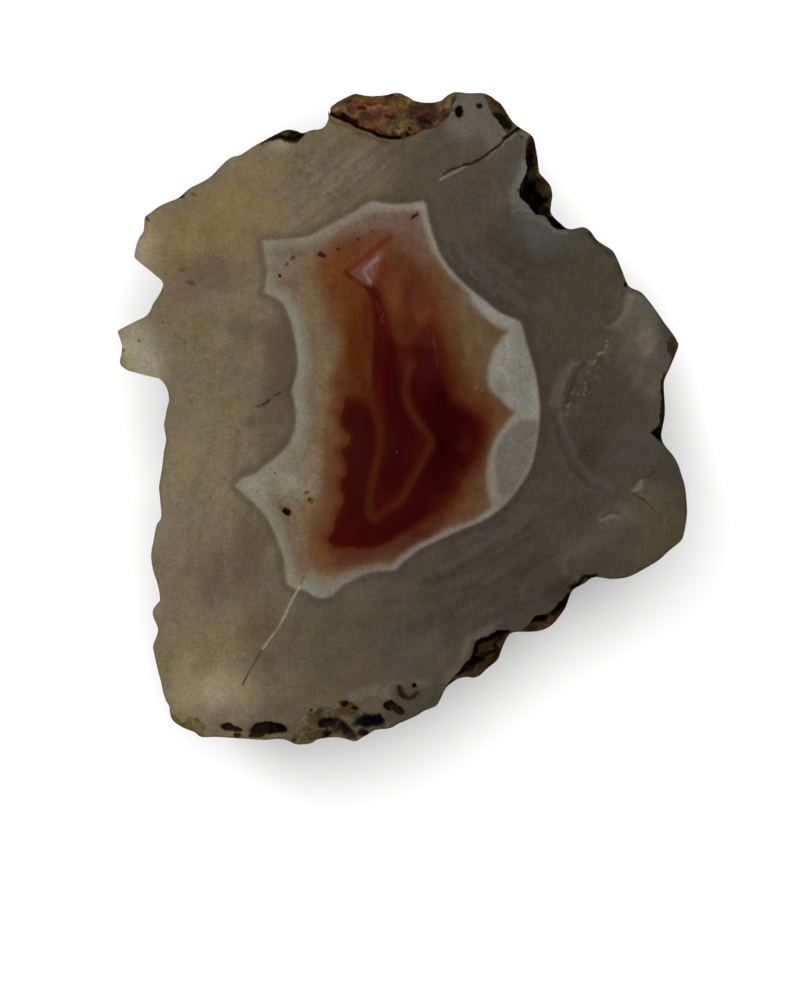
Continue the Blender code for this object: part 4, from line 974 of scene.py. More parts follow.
# Colours of the rough rind, and its patches on the cut side
RIND_BROWN = (88, 64, 43)
RIND_OCHRE = (108, 84, 50)
RIND_RED = (80, 48, 32)
RIND_DARK = (34, 22, 15)
RIND_PALE = (124, 104, 76)
CRUST_PATCHES = [
    ("red brown top", (-2.9, 30.5), (3.2, 1.5), 0.0, (106, 70, 47), 0.85),
    ("purple red middle", (-2.6, 30.3), (1.3, 0.5), 0.0, (88, 56, 43), 0.8),
    ("pinkish left", (-5.4, 30.8), (1.3, 0.7), -20.0, (110, 78, 57), 0.8),
    ("ochre top", (-2.8, 31.9), (2.3, 0.55), 0.0, (106, 77, 37), 0.9),
    ("red streak in the ochre", (-2.9, 31.5), (1.5, 0.14), 0.0, (76, 44, 24), 0.8),
    ("pale ridge", (-2.1, 31.1), (1.6, 0.16), 2.0, (122, 96, 68), 0.8),
    ("yellow ochre", (0.5, 31.6), (1.0, 0.8), 0.0, (112, 84, 42), 0.9),
    ("yellow ochre, lower", (-0.4, 30.5), (0.6, 1.0), 20.0, (98, 74, 40), 0.85),
    ("dark purple brown", (2.7, 30.35), (2.5, 1.35), 5.0, (70, 48, 36), 0.9),
    ("purple brown ridge", (3.2, 31.0), (1.4, 0.2), 25.0, (84, 58, 43), 0.8),
    ("tan at its foot", (3.4, 29.5), (1.2, 0.3), 20.0, (88, 72, 54), 0.7),
    ("dark hollow beside it", (2.2, 29.8), (0.9, 0.3), -20.0, (30, 20, 16), 0.8),
    ("lower ochre brown", (-0.3, 29.3), (2.3, 0.85), -12.0, (104, 79, 50), 0.85),
    ("cream spot", (-0.2, 28.7), (0.34, 0.26), 0.0, (132, 112, 84), 0.9),
    ("dark spot by it", (0.5, 28.3), (0.28, 0.24), 0.0, (26, 18, 12), 0.9),
    ("dark spot above it", (0.85, 28.85), (0.24, 0.2), 0.0, (32, 21, 14), 0.9),
    ("ochre tan corner", (4.5, 31.7), (1.1, 0.9), 0.0, (112, 94, 64), 0.9),
    # Pinkish crust with painted highlights
    ("pink spot with painted highlight", (-6.7, 31.0), (0.45, 0.32), 0.0, (126, 96, 76), 0.85),
    ("pink spot with painted highlight, right", (-5.7, 30.65), (0.5, 0.26), -10.0, (118, 86, 66), 0.8),
    ("dark fleck", (-3.9, 31.0), (0.5, 0.2), 10.0, (44, 27, 18), 0.8),
    ("dark fleck, right", (-1.2, 30.2), (0.6, 0.22), -15.0, (48, 30, 20), 0.75),
    ("black pit", (13.4, 22.2), (1.55, 2.15), 0.0, (7, 7, 6), 0.97),
    ("olive right of the pit", (14.5, 22.5), (0.62, 1.4), 0.0, (64, 54, 33), 0.92),
    ("olive lump in the pit", (13.8, 23.2), (0.5, 0.7), 0.0, (48, 39, 22), 0.9),
    ("small olive lump", (13.3, 22.2), (0.35, 0.3), 0.0, (30, 25, 15), 0.85),
    ("brown low in the pit", (14.2, 21.0), (0.6, 0.5), 0.0, (44, 30, 23), 0.9),
    ("black between the lumps", (14.2, 21.9), (0.5, 0.24), 20.0, (12, 9, 7), 0.9),
    ("black strip", (15.5, 19.4), (1.4, 0.5), -38.0, (10, 8, 7), 0.95),
    ("dark upper right edge", (13.1, 26.3), (0.6, 2.2), 0.0, (40, 30, 22), 0.92),
    ("black spot on it", (13.1, 26.3), (0.24, 0.28), 0.0, (12, 9, 7), 0.95),
    ("black spot under it", (13.2, 25.5), (0.2, 0.24), 0.0, (14, 10, 8), 0.95),
    ("olive wedge rim", (10.0, 30.8), (2.2, 0.8), -55.0, (64, 52, 32), 0.92),
    ("dark wedge", (10.1, 29.6), (1.35, 0.5), -50.0, (26, 18, 12), 0.95),
    ("pale rim of the wedge", (10.7, 30.2), (1.0, 0.14), -60.0, (104, 86, 62), 0.8),
    ("brown of the low lump", (8.4, -23.4), (2.4, 2.4), 0.0, (58, 42, 24), 0.9),
    # Painted shadow under the polish's edge, along the inner side of the low lump
    ("painted shadow under the low lump's edge", (9.2, -21.95), (1.9, 0.3), 24.0, (14, 8, 5), 0.95),
    ("painted shadow at its corner", (7.35, -23.0), (0.3, 0.6), 0.0, (18, 11, 8), 0.95),
    ("ochre on the low lump", (8.9, -22.8), (1.2, 0.46), 12.0, (75, 56, 31), 0.92),
    # Painted shadow under the polish's edge
    ("painted shadow in the hollow", (7.4, -24.25), (0.9, 0.5), 20.0, (8, 7, 5), 0.97),
    ("red brown foot", (5.9, -25.3), (1.05, 0.45), 22.0, (30, 13, 8), 0.95),
    ("olive ochre", (8.6, -23.8), (0.42, 0.8), 0.0, (62, 49, 23), 0.92),
    ("pale olive rim", (7.1, -25.5), (1.1, 0.4), 5.0, (66, 57, 39), 0.9),
    ("brown right side of the lump", (9.45, -23.4), (0.38, 0.8), 0.0, (36, 25, 15), 0.9),
    ("tan neck", (11.6, -21.3), (0.5, 0.2), 0.0, (84, 68, 48), 0.8),
    ("black seam pocket", (13.75, -20.0), (1.02, 0.44), 14.0, (6, 6, 8), 0.97),
    ("ochre below the pocket", (12.9, -20.9), (0.95, 0.4), 8.0, (58, 44, 28), 0.92),
    ("tan beside it", (14.7, -20.55), (0.85, 0.36), 30.0, (60, 48, 34), 0.85),
    ("purple strip", (16.1, -18.5), (1.7, 0.7), 52.0, (22, 8, 8), 0.97),
    ("brown edge of the strip", (15.9, -19.3), (0.6, 0.16), 52.0, (62, 42, 26), 0.8),
    ("olive bottom corner", (-21.2, -30.7), (2.4, 1.4), -10.0, (111, 98, 66), 0.96),
    ("tan bottom crust", (-6.0, -30.4), (6.0, 3.4), 0.0, (96, 86, 66), 0.97),
    ("brown bottom crust", (-5.4, -29.2), (1.8, 0.6), 14.0, (82, 62, 36), 0.85),
    ("brown bottom crust, left", (-8.7, -30.1), (1.0, 0.8), 0.0, (80, 63, 38), 0.85),
    ("dark spot on it", (-5.8, -28.45), (0.48, 0.26), 5.0, (26, 14, 7), 0.95),
    ("dark spot right of it", (-4.75, -29.0), (0.46, 0.25), -10.0, (30, 17, 9), 0.95),
    ("dark spot left of it", (-9.1, -29.2), (0.32, 0.26), 0.0, (34, 21, 12), 0.9),
    ("purple arch", (-7.2, -30.3), (1.0, 0.32), 0.0, (32, 21, 22), 0.9),
    ("purple arch, right", (-5.75, -31.0), (0.8, 0.3), -50.0, (34, 23, 22), 0.9),
    ("red brown blob", (-7.8, -31.6), (0.7, 0.46), 0.0, (26, 13, 8), 0.95),
    ("tan under the arch", (-6.5, -31.4), (0.6, 0.5), 0.0, (86, 68, 54), 0.85),
    ("olive tan outside", (-9.5, -31.6), (1.6, 0.9), 0.0, (84, 72, 44), 0.9),
    ("black blue bottom pit", (-3.2, -30.3), (1.75, 0.64), 8.0, (12, 12, 16), 0.97),
    ("brown under the pit", (-3.9, -31.5), (0.62, 0.42), 0.0, (36, 24, 14), 0.92),
    ("black in the small crust", (-10.9, 28.15), (0.6, 0.6), 0.0, (24, 22, 13), 0.92),
    ("olive brown lump", (-11.75, 28.5), (0.5, 0.36), 0.0, (62, 54, 36), 0.9),
    ("pinkish lump", (-12.9, 28.25), (0.52, 0.36), -15.0, (100, 83, 70), 0.85),
    ("black right notch", (25.4, -1.4), (0.8, 1.0), 0.0, (12, 10, 8), 0.95),
    ("dark strip on the right rim", (26.1, 1.0), (0.7, 2.3), 0.0, (30, 22, 17), 0.95),
    ("golden strip above it", (26.1, 3.6), (0.6, 0.8), -5.0, (48, 34, 8), 0.9),
    ("brown patch on the right rim", (27.1, 7.0), (0.7, 1.1), 0.0, (60, 46, 32), 0.92),
]

RIND_GREY = (92, 80, 62)
BREAK_TAN = (118, 103, 78)
BREAK_PALE = (134, 121, 96)
PIT_STAIN = (78, 60, 40)
# Painted shade on the steep walls of the deep ledges
PAINTED_WALL_SHADE = (26, 18, 12)

# Flecks of the rind and the break: size across, seed, from and to of the noise, strength and colour
RIND_FLECKS = [
    (2.0, 0.0, (-0.05, 0.25), 0.75, RIND_OCHRE),
    (1.3, 3.0, (0.1, 0.3), 0.7, RIND_RED),
    (0.8, 5.0, (0.05, 0.25), 0.45, RIND_DARK),
    (0.5, 9.0, (0.15, 0.4), 0.4, RIND_PALE),
]
BREAK_FLECKS = [
    (6.0, 3.0, (-0.2, 0.5), 0.8, BREAK_PALE),
    (1.6, 12.0, (0.05, 0.4), 0.4, RIND_OCHRE),
]
FLANK_FLECKS = [(5.0, 8.0, (-0.4, 0.4), 0.5, RIND_GREY)]
FLANK_SEED = 2.0
HOLLOWS = (-0.1, -0.6)
HOLLOW_STRENGTH = 0.6
CRESTS = (0.1, 0.6)
CREST_STRENGTH = 0.5

# Painted light and shade on the crust: its level, its fall with the relief, the relief's limit, and its
# grain
CRUST_PAINTED_LIGHT = 1.04
CRUST_PAINTED_SHADE = 0.3
CRUST_LIMIT = 0.6
CRUST_GRAIN = (0.4, 0.12, 40.0)
# Painted shade on the walls of the deep ledges: how far across the ledge it fades, the drops that bring it,
# its strength
WALL_FADE = 1.5
DEEP_WALL = (0.8, 1.6)
WALL_SHADE_STRENGTH = 0.88
PIT_STAIN_REACH = (1.0, 1.5)
PIT_STAIN_STRENGTH = 0.35
PIT_REACH = (0.8, 1.02)
PIT_STRENGTH = 0.95
SPECK_REACH = (0.6, 1.25)

# Worn edges and strength of the grooves: size across, amount and seed of the noise
GROOVE_EDGE = (0.7, 1.35)
GROOVE_WANDER = (0.4, 0.3, 16.0)
GROOVE_WORN = (1.3, 0.35, 14.0)
GROOVE_LEVEL = 0.8

# How the parts of the cut side meet, in millimetres from the white band's outlines. An X is from and to
BESIDE_BROWN = (68, 57, 48)
BESIDE_WIDTH = 0.4
BESIDE_X = (0.0, 6.0)
BESIDE_LEFT = 0.35
BESIDE_MORE = 0.3
BAND_OVERLAP = 0.6
BAND_EDGE = (-0.22, 0.2)
GLOW_REACH = 0.6
GLOW_X = (1.0, -4.0)
GLOW_STRENGTH = 0.45
HAZE_X = (2.0, -6.0)
HAZE = 0.35
HAZE_IN = 1.4
HAZE_OUT = 0.8
WHITE_EDGE = 0.4
LOBE_FILL_GREY = (104, 97, 88)
LOBE_FILL_EDGE = 0.35
LOBE_FILL_STRENGTH = 0.9
BAND_WANDER = (3.0, 0.5, 9.0)

# Gloss, grain and fine relief of the materials. Bump distances are in metres
LIGHT_GAIN = 2.0
POLISH_SHEEN = 0.0019
TINT_FLOOR = 0.0008
AGATE_IOR = 1.54
FAR_OUT = 30.0
SHARP_DEGREES = 50.0
MIDDLE_NOISE = (0.3, 0.7)

# Polish: hue flecks (size, reach), and light grain (size, detail, noise from and to, light from and to)
POLISH_FLECKS = [(0.3, 0.16), (0.9, 0.07)]
FLECK_DETAIL = 3.0
POLISH_GRAIN = [
    (2.2, 5.0, (0.3, 0.7), (0.94, 1.06)),
    (0.26, 3.0, (0.25, 0.75), (0.82, 1.18)),
    (0.7, 4.0, (0.3, 0.7), (0.92, 1.08)),
]
STREAK_SIZE = 0.5
STREAK_DETAIL = 3.0
STREAK_STRETCH = (1.0, 0.12, 1.0)
STREAK_TURN = 38.0
STREAK_LIGHT = (0.965, 1.035)
BANDS_PER_MM = 6.5
BANDS_WANDER = 3.0
BANDS_SIZE = 3.0
BANDS_DETAIL = 3.0
BANDS_LIGHT = (0.985, 1.015)
WEAR_SIZE = 0.25
WEAR_DETAIL = 4.0
POLISH_BUMP = 0.0000008
POLISH_ROUGHNESS = (0.13, 0.16)
POLISH_ROUGHNESS_SIZE = 1.4

# Rind and break: name, strength of the flecks, roughness, bump distance and shine
ROUGH_MATERIALS = [
    ("natural_rind", 0.65, (0.72, 0.95), 0.00012, 0.0),
    ("broken_agate", 0.3, (0.34, 0.5), 0.00003, 0.35),
]
ROUGH_FLECK_SIZE = 0.5
ROUGH_FLECK_REACH = 0.3
ROUGH_COARSE = (1.1, 5.0)
ROUGH_FINE = (0.3, 4.0)
COARSE_LIGHT = 0.25
FINE_LIGHT = 0.5
COARSE_RELIEF = 1.5

# Floor, camera and lights. The floor, lights and world are in metres and watts, the view in millimetres
FLOOR_HALF = 0.9
FLOOR_DROP = 0.0002
FLOOR_COLOUR = (0.74, 0.74, 0.74, 1.0)
FLOOR_ROUGHNESS = 0.9
FLOOR_SHINE = 0.1
WORLD_COLOUR = (1.0, 1.0, 1.0, 1.0)
WORLD_LIGHT = 0.05
VIEW_CENTRE = (-0.2, -8.2)
VIEW_HEIGHT = 450.0
VIEW_LENGTH = 100.0
CLIP_START = 0.01
SENSOR = 36.0

# Lights: name, turn and tilt in degrees, distance, size, power, and whether the polish mirrors it
LIGHTS = [
    ("overhead", 99.0, 4.9, 1.0, 0.7, 13.4, False),
    ("key", 125.0, 42.0, 0.9, 0.3, 3.0, False),
    ("fill_right", -30.0, 60.0, 0.9, 0.6, 2.5, False),
    ("fill_front", -110.0, 62.0, 0.9, 0.6, 1.5, True),
]


# Geometry: curves, outlines, noise and places
def smooth_step(low, high, value):
    """A share that eases from 0 at the low value to 1 at the high one."""
    share = np.clip((value - low) / (high - low), 0.0, 1.0)
    return share * share * (3.0 - 2.0 * share)


def spline(points, spacing, closed=False):
    """A smooth curve through the points, with a point about every spacing. Sharp turns stay sharp."""
    points = np.array(points, float)
    before = np.roll(points, 1, axis=0)
    after = np.roll(points, -1, axis=0)
    if not closed:
        before[0] = points[0]
        after[-1] = points[-1]
    back = points - before
    ahead = after - points
    back_length = np.maximum(np.hypot(*back.T), TINY_LENGTH)
    ahead_length = np.maximum(np.hypot(*ahead.T), TINY_LENGTH)
    tangent = (after - before) / (back_length + ahead_length)[:, None]
    back_way = back / back_length[:, None]
    ahead_way = ahead / ahead_length[:, None]
    corner = (back_way * ahead_way).sum(1) < math.cos(math.radians(CORNER_DEGREES))
    leaving = np.where(corner[:, None], ahead_way, tangent)
    arriving = np.where(corner[:, None], back_way, tangent)
    curve = []
    for index in range(len(points) if closed else len(points) - 1):
        start = points[index]
        end = points[(index + 1) % len(points)]
        length = math.hypot(*(end - start))
        steps = max(int(round(length / spacing)), 1)
        t = (np.arange(steps) / steps)[:, None]
        curve.append(
            start * (2 * t**3 - 3 * t**2 + 1) + end * (3 * t**2 - 2 * t**3)
            + leaving[index] * length * (t**3 - 2 * t**2 + t)
            + arriving[(index + 1) % len(points)] * length * (t**3 - t**2)
        )
    if not closed:
        curve.append(points[-1:])
    return np.vstack(curve)


def arcs_outline(arcs, spacing=OUTLINE_STEP):
    """A closed outline of smooth arcs that meet in cusps. Each starts where the one before ends."""
    paths = []
    for before, arc in zip(arcs[-1:] + arcs[:-1], arcs):
        paths.append(spline([before[-1]] + arc, spacing)[:-1])
    return np.vstack(paths)


def nearest_on(points, path, closed=False):
    """Distance from each point to a path."""
    starts = path if closed else path[:-1]
    sides = (np.roll(path, -1, axis=0) if closed else path[1:]) - starts
    squared = np.maximum((sides**2).sum(1), TINY)
    distance = np.empty(len(points))
    for first in range(0, len(points), CHUNK):
        away = points[first:first + CHUNK, None, :] - starts[None]
        share = np.clip((away * sides).sum(2) / squared, 0.0, 1.0)
        gap = ((away - share[:, :, None] * sides) ** 2).sum(2)
        distance[first:first + CHUNK] = np.sqrt(gap.min(1))
    return distance


def inside(points, outline):
    """Which points lie inside a closed outline."""
    ends = np.roll(outline, -1, axis=0)
    result = np.empty(len(points), bool)
    rise = np.where(ends[:, 1] == outline[:, 1], TINY, ends[:, 1] - outline[:, 1])
    for first in range(0, len(points), CHUNK):
        x = points[first:first + CHUNK, 0:1]
        y = points[first:first + CHUNK, 1:2]
        spans = (outline[:, 1] > y) != (ends[:, 1] > y)
        left = x < outline[:, 0] + (ends[:, 0] - outline[:, 0]) * (y - outline[:, 1]) / rise
        result[first:first + CHUNK] = (spans & left).sum(1) % 2 == 1
    return result


def depth_in(points, outline):
    """Distance to a closed outline, positive inside it."""
    distance = nearest_on(points, outline, closed=True)
    return np.where(inside(points, outline), distance, -distance)


def box_near(points, path, reach):
    """Which points lie in the box round a path, grown by a reach."""
    low = path.min(0) - reach
    high = path.max(0) + reach
    return ((points >= low) & (points <= high)).all(1)


def turned_away(points, centre, half, turn):
    """Places from a centre, along and across a turn in degrees, as shares of two half lengths."""
    turned = math.radians(turn)
    away = points - centre
    x = (away[:, 0] * math.cos(turned) + away[:, 1] * math.sin(turned)) / half[0]
    y = (away[:, 1] * math.cos(turned) - away[:, 0] * math.sin(turned)) / half[1]
    return x, y


def along_and_across(points, way, stretch):
    """Places along and across a direction, squeezed along it so that noise there makes streaks."""
    return np.column_stack([points @ way / stretch, points @ (-way[1], way[0])])


def sampled(points, size, seed, sample):
    """A noise function at points on or in the stone. Points without a height lie at height 0."""
    shift = Vector([step * seed for step in SEED_STEPS])
    if points.shape[1] == 2:
        return np.array([sample(Vector((x / size, y / size, 0.0)) + shift) for x, y in points])
    return np.array([sample(Vector(point) / size + shift) for point in points])


def noise_at(points, size, seed=0.0):
    """Smooth noise from -1 to 1."""
    return sampled(points, size, seed, noise.noise)


def cell_at(points, size, seed=0.0):
    """Distance to the nearest of many scattered centres, as a share of their mean spacing."""
    return sampled(points, size, seed, lambda place: noise.voronoi(place)[0][0])


def layered(points, layers):
    """The sum of layers of noise, each with its size across, height and seed."""
    return sum(height * noise_at(points, size, seed) for size, height, seed in layers)


def warped(points, warps, seeds=WARP_SEEDS):
    """The points moved about a little, so that soft patches lose their even outlines."""
    for size, reach, seed in warps:
        moves = [noise_at(points, size, seed), noise_at(points, size, seed + seeds)]
        points = points + reach * np.stack(moves, axis=1)
    return points


def ways(angles):
    """Directions at angles in degrees."""
    return np.stack([np.cos(np.radians(angles)), np.sin(np.radians(angles))], axis=1)


def angle_of(points):
    """Angles of points round the stone's middle, from 0 to 360 degrees."""
    return np.degrees(np.arctan2(points[:, 1], points[:, 0])) % 360.0


def wrapped(angles):
    """Angles brought between -180 and 180 degrees."""
    return (angles + 180.0) % 360.0 - 180.0


def triangle_grid(low, high, spacing):
    """Points of an even triangle grid over a box."""
    row_height = spacing * math.sqrt(0.75)
    rows = np.arange(low[1], high[1], row_height)
    columns = np.arange(low[0], high[0], spacing)
    x = np.tile(columns, (len(rows), 1))
    x[1::2] += spacing / 2.0
    y = np.repeat(rows[:, None], len(columns), axis=1)
    return np.stack([x.ravel(), y.ravel()], axis=1)


def far_from(points, others, reach):
    """Which points are further than a reach from all the others."""
    tree = kdtree.KDTree(len(others))
    for index, (x, y) in enumerate(others):
        tree.insert((x, y, 0.0), index)
    tree.balance()
    return np.array([tree.find((x, y, 0.0))[2] > reach for x, y in points], bool)


# Forms: the cut side, its ledges, pits and grooves, and the flank
def radius_table(path):
    """Angles and radii of a path round the stone's middle, in the order of the angles."""
    angles = angle_of(path)
    order = np.argsort(angles)
    return angles[order], np.hypot(*path.T)[order]


RIM_PATH = spline(RIM, RIM_STEP, closed=True)
RIM_TABLE = radius_table(RIM_PATH)


def rim_radius(angles):
    """Radius of the outline at each angle."""
    return np.interp(angles, *RIM_TABLE, period=360.0)


def broad_radius(angles):
    """Radius of the outline without its fine scallops."""
    window = range(-BROAD_HALF_WINDOW, BROAD_HALF_WINDOW + 1, BROAD_STEP)
    return sum(rim_radius((angles + turn) % 360.0) for turn in window) / len(window)


def ledges_at(angles):
    """Radius of the polish's edge at each angle, and how far each step of the ledge drops."""
    rim = rim_radius(angles)
    edge = rim - EDGE_WEAR
    drops = np.tile(np.array(LEDGE_SHARES) * EDGE_ROUND, (len(angles), 1))
    for ledge in RIND_LEDGES:
        path = spline(ledge["edge"], LEDGE_STEP)
        middle = angle_of(path[len(path) // 2:][:1])[0]
        turns = wrapped(angle_of(path) - middle)
        order = np.argsort(turns)
        radius = np.interp(
            wrapped(angles - middle), turns[order], np.hypot(*path.T)[order], left=np.inf, right=np.inf,
        )
        here = radius < rim - EDGE_WEAR
        ends = angle_of(path[[0, -1]])
        from_end = np.minimum(*[np.abs(wrapped(angles[here] - end)) for end in ends])
        reach = np.minimum((rim - radius)[here] / LEDGE_FULL_WIDTH, 1.0)
        reach = reach * smooth_step(0.0, LEDGE_END, from_end)
        edge[here] = radius[here]
        drops[here] = np.maximum(np.array(ledge["drops"]) * reach[:, None], drops[here])
    return rim, edge, drops


def ledge_parts(points):
    """How far each point lies across the rough ledge, from 0 to 1, how rough it is, and the drops."""
    rim, edge, drops = ledges_at(angle_of(points))
    share = np.clip((np.hypot(*points.T) - edge) / (rim - edge), 0.0, 1.0)
    rough = np.clip((rim - edge - EDGE_WEAR) / LEDGE_FULL_WIDTH, 0.0, 1.0)
    return share, rough * smooth_step(0.0, WALL_SHARE, share), drops


def pit_reach(points, pit):
    """Which points are near a pit, and how far out in it they are, from 0 in its middle to 1."""
    centre, half, _, turn, _ = pit
    near = np.hypot(*(points - centre).T) < NEARBY * max(half)
    reach = np.hypot(*turned_away(points[near], centre, half, turn))
    for size, height, seed in PIT_ROUGH:
        reach += height * noise_at(points[near], size, seed)
    return near, reach


def pit_depths(points):
    """How deep the small pits go at each point of the face, in millimetres."""
    depth = np.zeros(len(points))
    for pit in FACE_PITS:
        near, reach = pit_reach(points, pit)
        depth[near] = np.maximum(depth[near], pit[2] * (1.0 - smooth_step(PIT_EDGE, 1.0, reach)))
    return depth


def groove_depths(points):
    """How deep the cracks and crevices go at each point of the face, in millimetres."""
    depth = np.zeros(len(points))
    for line, width, deep, _, _ in GROOVES:
        path = spline(line, GROOVE_STEP)
        near = box_near(points, path, NEARBY * width)
        distance = nearest_on(points[near], path)
        depth[near] = np.maximum(depth[near], deep * (1.0 - smooth_step(0.0, width, distance)))
    return depth


def rind_relief(points):
    """Lumps and facets of the rind on the cut side, in millimetres, down where it is positive."""
    size, height, level, seed = RIND_FACETS
    return layered(points, RIND_LUMPS) + height * (cell_at(points, size, seed) - level)


def face_heights(points):
    """Height of the cut side at each point: the level polish, the rough ledges outside it, the pits."""
    share, rough, drops = ledge_parts(points)
    drop = np.zeros(len(points))
    low = 0.0
    before = np.zeros(len(points))
    for high, after in zip(LEDGE_SHARES, drops.T):
        reached = WALL_SHARE if low == 0.0 else high
        step = before + (after - before) * smooth_step(low, reached, share)
        drop = np.where(share > low, step, drop)
        low = high
        before = after
    on_rind = rough > 0.0
    drop[on_rind] += rough[on_rind] * rind_relief(points[on_rind])
    drop = np.maximum(drop, EDGE_SLOPE * EDGE_ROUND * share)
    return HEIGHT - drop - pit_depths(points) - groove_depths(points)


def needs_detail(points):
    """Which points of the cut side lie on a rough ledge, in a small pit or among fine streaks."""
    rim, edge, _ = ledges_at(angle_of(points))
    detailed = (np.hypot(*points.T) > edge - LEDGE_MARGIN) & (rim - edge > EDGE_WEAR * LEDGE_WIDER)
    places = [(centre, max(half) * PIT_GROWN) for centre, half, _, _, _ in FACE_PITS]
    for centre, reach in places + DETAILED:
        detailed |= np.hypot(*(points - centre).T) < reach
    return detailed


def line_points():
    """Points along both sides of the fine lines, and over the specks."""
    points = []
    for group, offsets in ((GROOVES, GROOVE_SIDES), (BODY_LINES, LINE_SIDES)):
        for line in [entry[0] for entry in group if entry[1] < THIN_LINE]:
            path = spline(line, CRACK_SPACING)
            way = np.gradient(path, axis=0)
            way /= np.hypot(*way.T)[:, None]
            side = np.stack([-way[:, 1], way[:, 0]], axis=1)
            points += [path + side * offset for offset in offsets]
    for centre, half, _, _ in SPECKS:
        grid = triangle_grid((-SPECK_BOX, -SPECK_BOX), (SPECK_BOX, SPECK_BOX), SPECK_SPACING) + centre
        points.append(grid[np.hypot(*(grid - centre).T) < max(half) * SPECK_GROWN])
    return np.vstack(points)


def face_points(rim_loop, edge_loop):
    """Points over the cut side: close together where it is rough or its colours change fast."""
    low = rim_loop.min(0)
    high = rim_loop.max(0)
    band_outer = arcs_outline(BAND_OUTER_ARCS)
    outlines = np.vstack([band_outer, arcs_outline(BAND_INNER_ARCS), arcs_outline(LOBE_FILL_ARCS)])
    coarse = triangle_grid(low, high, FACE_SPACING)
    coarse = coarse[inside(coarse, rim_loop)]
    fine = triangle_grid(low, high, RIND_SPACING)
    fine = fine[inside(fine, rim_loop)]
    centre_low = band_outer.min(0) - CENTRE_GROWN
    centre_high = band_outer.max(0) + CENTRE_GROWN
    centre = triangle_grid(centre_low, centre_high, CENTRE_SPACING)
    centre = centre[depth_in(centre, band_outer) > -CENTRE_GROWN]
    close = triangle_grid(centre_low, centre_high, BAND_SPACING)
    points = np.vstack([
        coarse[(depth_in(coarse, band_outer) < -CENTRE_GROWN) & ~needs_detail(coarse)],
        fine[needs_detail(fine)],
        centre[far_from(centre, outlines, BAND_GROWN)],
        close[~far_from(close, outlines, BAND_GROWN)],
    ])
    lines = line_points()
    points = np.vstack([points[far_from(points, lines, LINE_CLEARANCE)], lines])
    return points[far_from(points, np.vstack([rim_loop, edge_loop]), LOOP_CLEARANCE * RIND_SPACING)]


def rim_columns():
    """Angles of the columns, evenly spaced along the rim, and the same eased to even angles."""
    steps = np.hypot(*(np.roll(RIM_PATH, -1, axis=0) - RIM_PATH).T)
    lengths = np.concatenate([[0.0], np.cumsum(steps)])
    wanted = np.arange(RIM_COLUMNS) * lengths[-1] / RIM_COLUMNS
    closed = np.vstack([RIM_PATH, RIM_PATH[:1]])
    path = np.stack([np.interp(wanted, lengths, closed[:, axis]) for axis in (0, 1)], axis=1)
    angles = np.sort(angle_of(path))
    even = angles.copy()
    for _ in range(EVENING_PASSES):
        before = np.concatenate([even[-1:] - 360.0, even[:-1]])
        after = np.concatenate([even[1:], even[:1] + 360.0])
        even = (before + even + after) / 3.0
    return angles, even


def bulge_at(angles):
    """How far the flank bulges out past the rim on the left."""
    within = np.minimum(angles - BULGE_FROM, BULGE_TO - angles)
    return BULGE * smooth_step(-BULGE_FEATHER, BULGE_FEATHER, within)


def scoop_carve(y, depth):
    """How deep the shell-shaped scoops of the break go."""
    deepest = np.zeros(len(y))
    for scoop in BREAK_SCOOPS:
        away = np.hypot(y - scoop["y"], depth - scoop["depth"]) / scoop["radius"]
        deepest = np.maximum(deepest, scoop["carve"] * (1.0 - away * away))
    return deepest


def flank_lumps(place, share):
    """Broad and fine lumps of the flank at each place, in millimetres out of it."""
    grown = smooth_step(0.0, LUMPS_START, share) * (1.0 - smooth_step(LUMPS_END, LUMPS_GONE, share))
    knob = KNOB_HEIGHT * (KNOB_CREST - KNOB_FALL * cell_at(place, KNOB_SIZE) ** 2)
    lump = (noise_at(place, SWELL_SIZE) * SWELL_HEIGHT + knob) * grown
    pit = cell_at(place, FINE_PIT_SIZE, FINE_PIT_SEED) / FINE_PIT_REACH
    return lump, layered(place, FINE_LUMPS) - FINE_PIT_DEPTH * np.clip(1.0 - pit * pit, 0.0, 1.0)


def break_radius(angles, depth, rim, place):
    """Radius of the break's surface: the outline at the rim, then a leaning plane with scoops."""
    facing = -np.cos(np.radians(angles))
    plane = (-BREAK_X - BREAK_LEAN * depth) / facing
    hold = np.exp(-((depth / BREAK_RIM_FADE) ** BREAK_HOLD))
    carve = scoop_carve(plane * np.sin(np.radians(angles)), depth)
    broken = plane + (rim + BREAK_X / facing) * hold
    return broken + (layered(place, BREAK_ROUGH) - carve) * (1.0 - hold) / facing


def flank_ring(angles, start_depth, share):
    """A ring of points round the flank, how much of each is rind and no clean break, and its relief."""
    depth = start_depth + (HEIGHT - start_depth) * share
    fullness = DOME_FULLNESS + DOME_FULLNESS_SWING * np.sin(np.radians(2.0 * angles + DOME_SWING_TURN))
    dome = (1.0 - (share * HEIGHT / DOME_DEPTH) ** fullness) ** (1.0 / fullness)
    rim = rim_radius(angles)
    broad = broad_radius(angles)
    radius = (broad + (rim - broad) * math.exp(-share / RIM_DETAIL_FADE) + bulge_at(angles)) * dome
    place = np.column_stack([ways(angles) * radius[:, None], HEIGHT - depth])
    lump, fine = flank_lumps(place, share)
    fine_grown = smooth_step(0.0, FINE_START, share) * (1.0 - smooth_step(FINE_END, 1.0, share))
    radius = radius + (lump + fine * fine_grown) * dome
    height = HEIGHT - depth - (lump + fine * fine_grown) * (1.0 - dome)
    rind = np.ones(len(angles))
    in_break = (angles > BREAK_FROM) & (angles < BREAK_TO)
    if in_break.any():
        broken = break_radius(angles[in_break], depth[in_break], rim[in_break], place[in_break])
        rind[in_break] = smooth_step(*BREAK_MEETS_RIND, broken - radius[in_break])
        radius[in_break] = np.minimum(radius[in_break], broken)
    radius = np.minimum(radius, rim - RIM_CLEARANCE)
    ring = np.column_stack([ways(angles) * radius[:, None], np.maximum(height, 0.0)])
    return ring, rind, (lump + fine) / FLANK_RELIEF


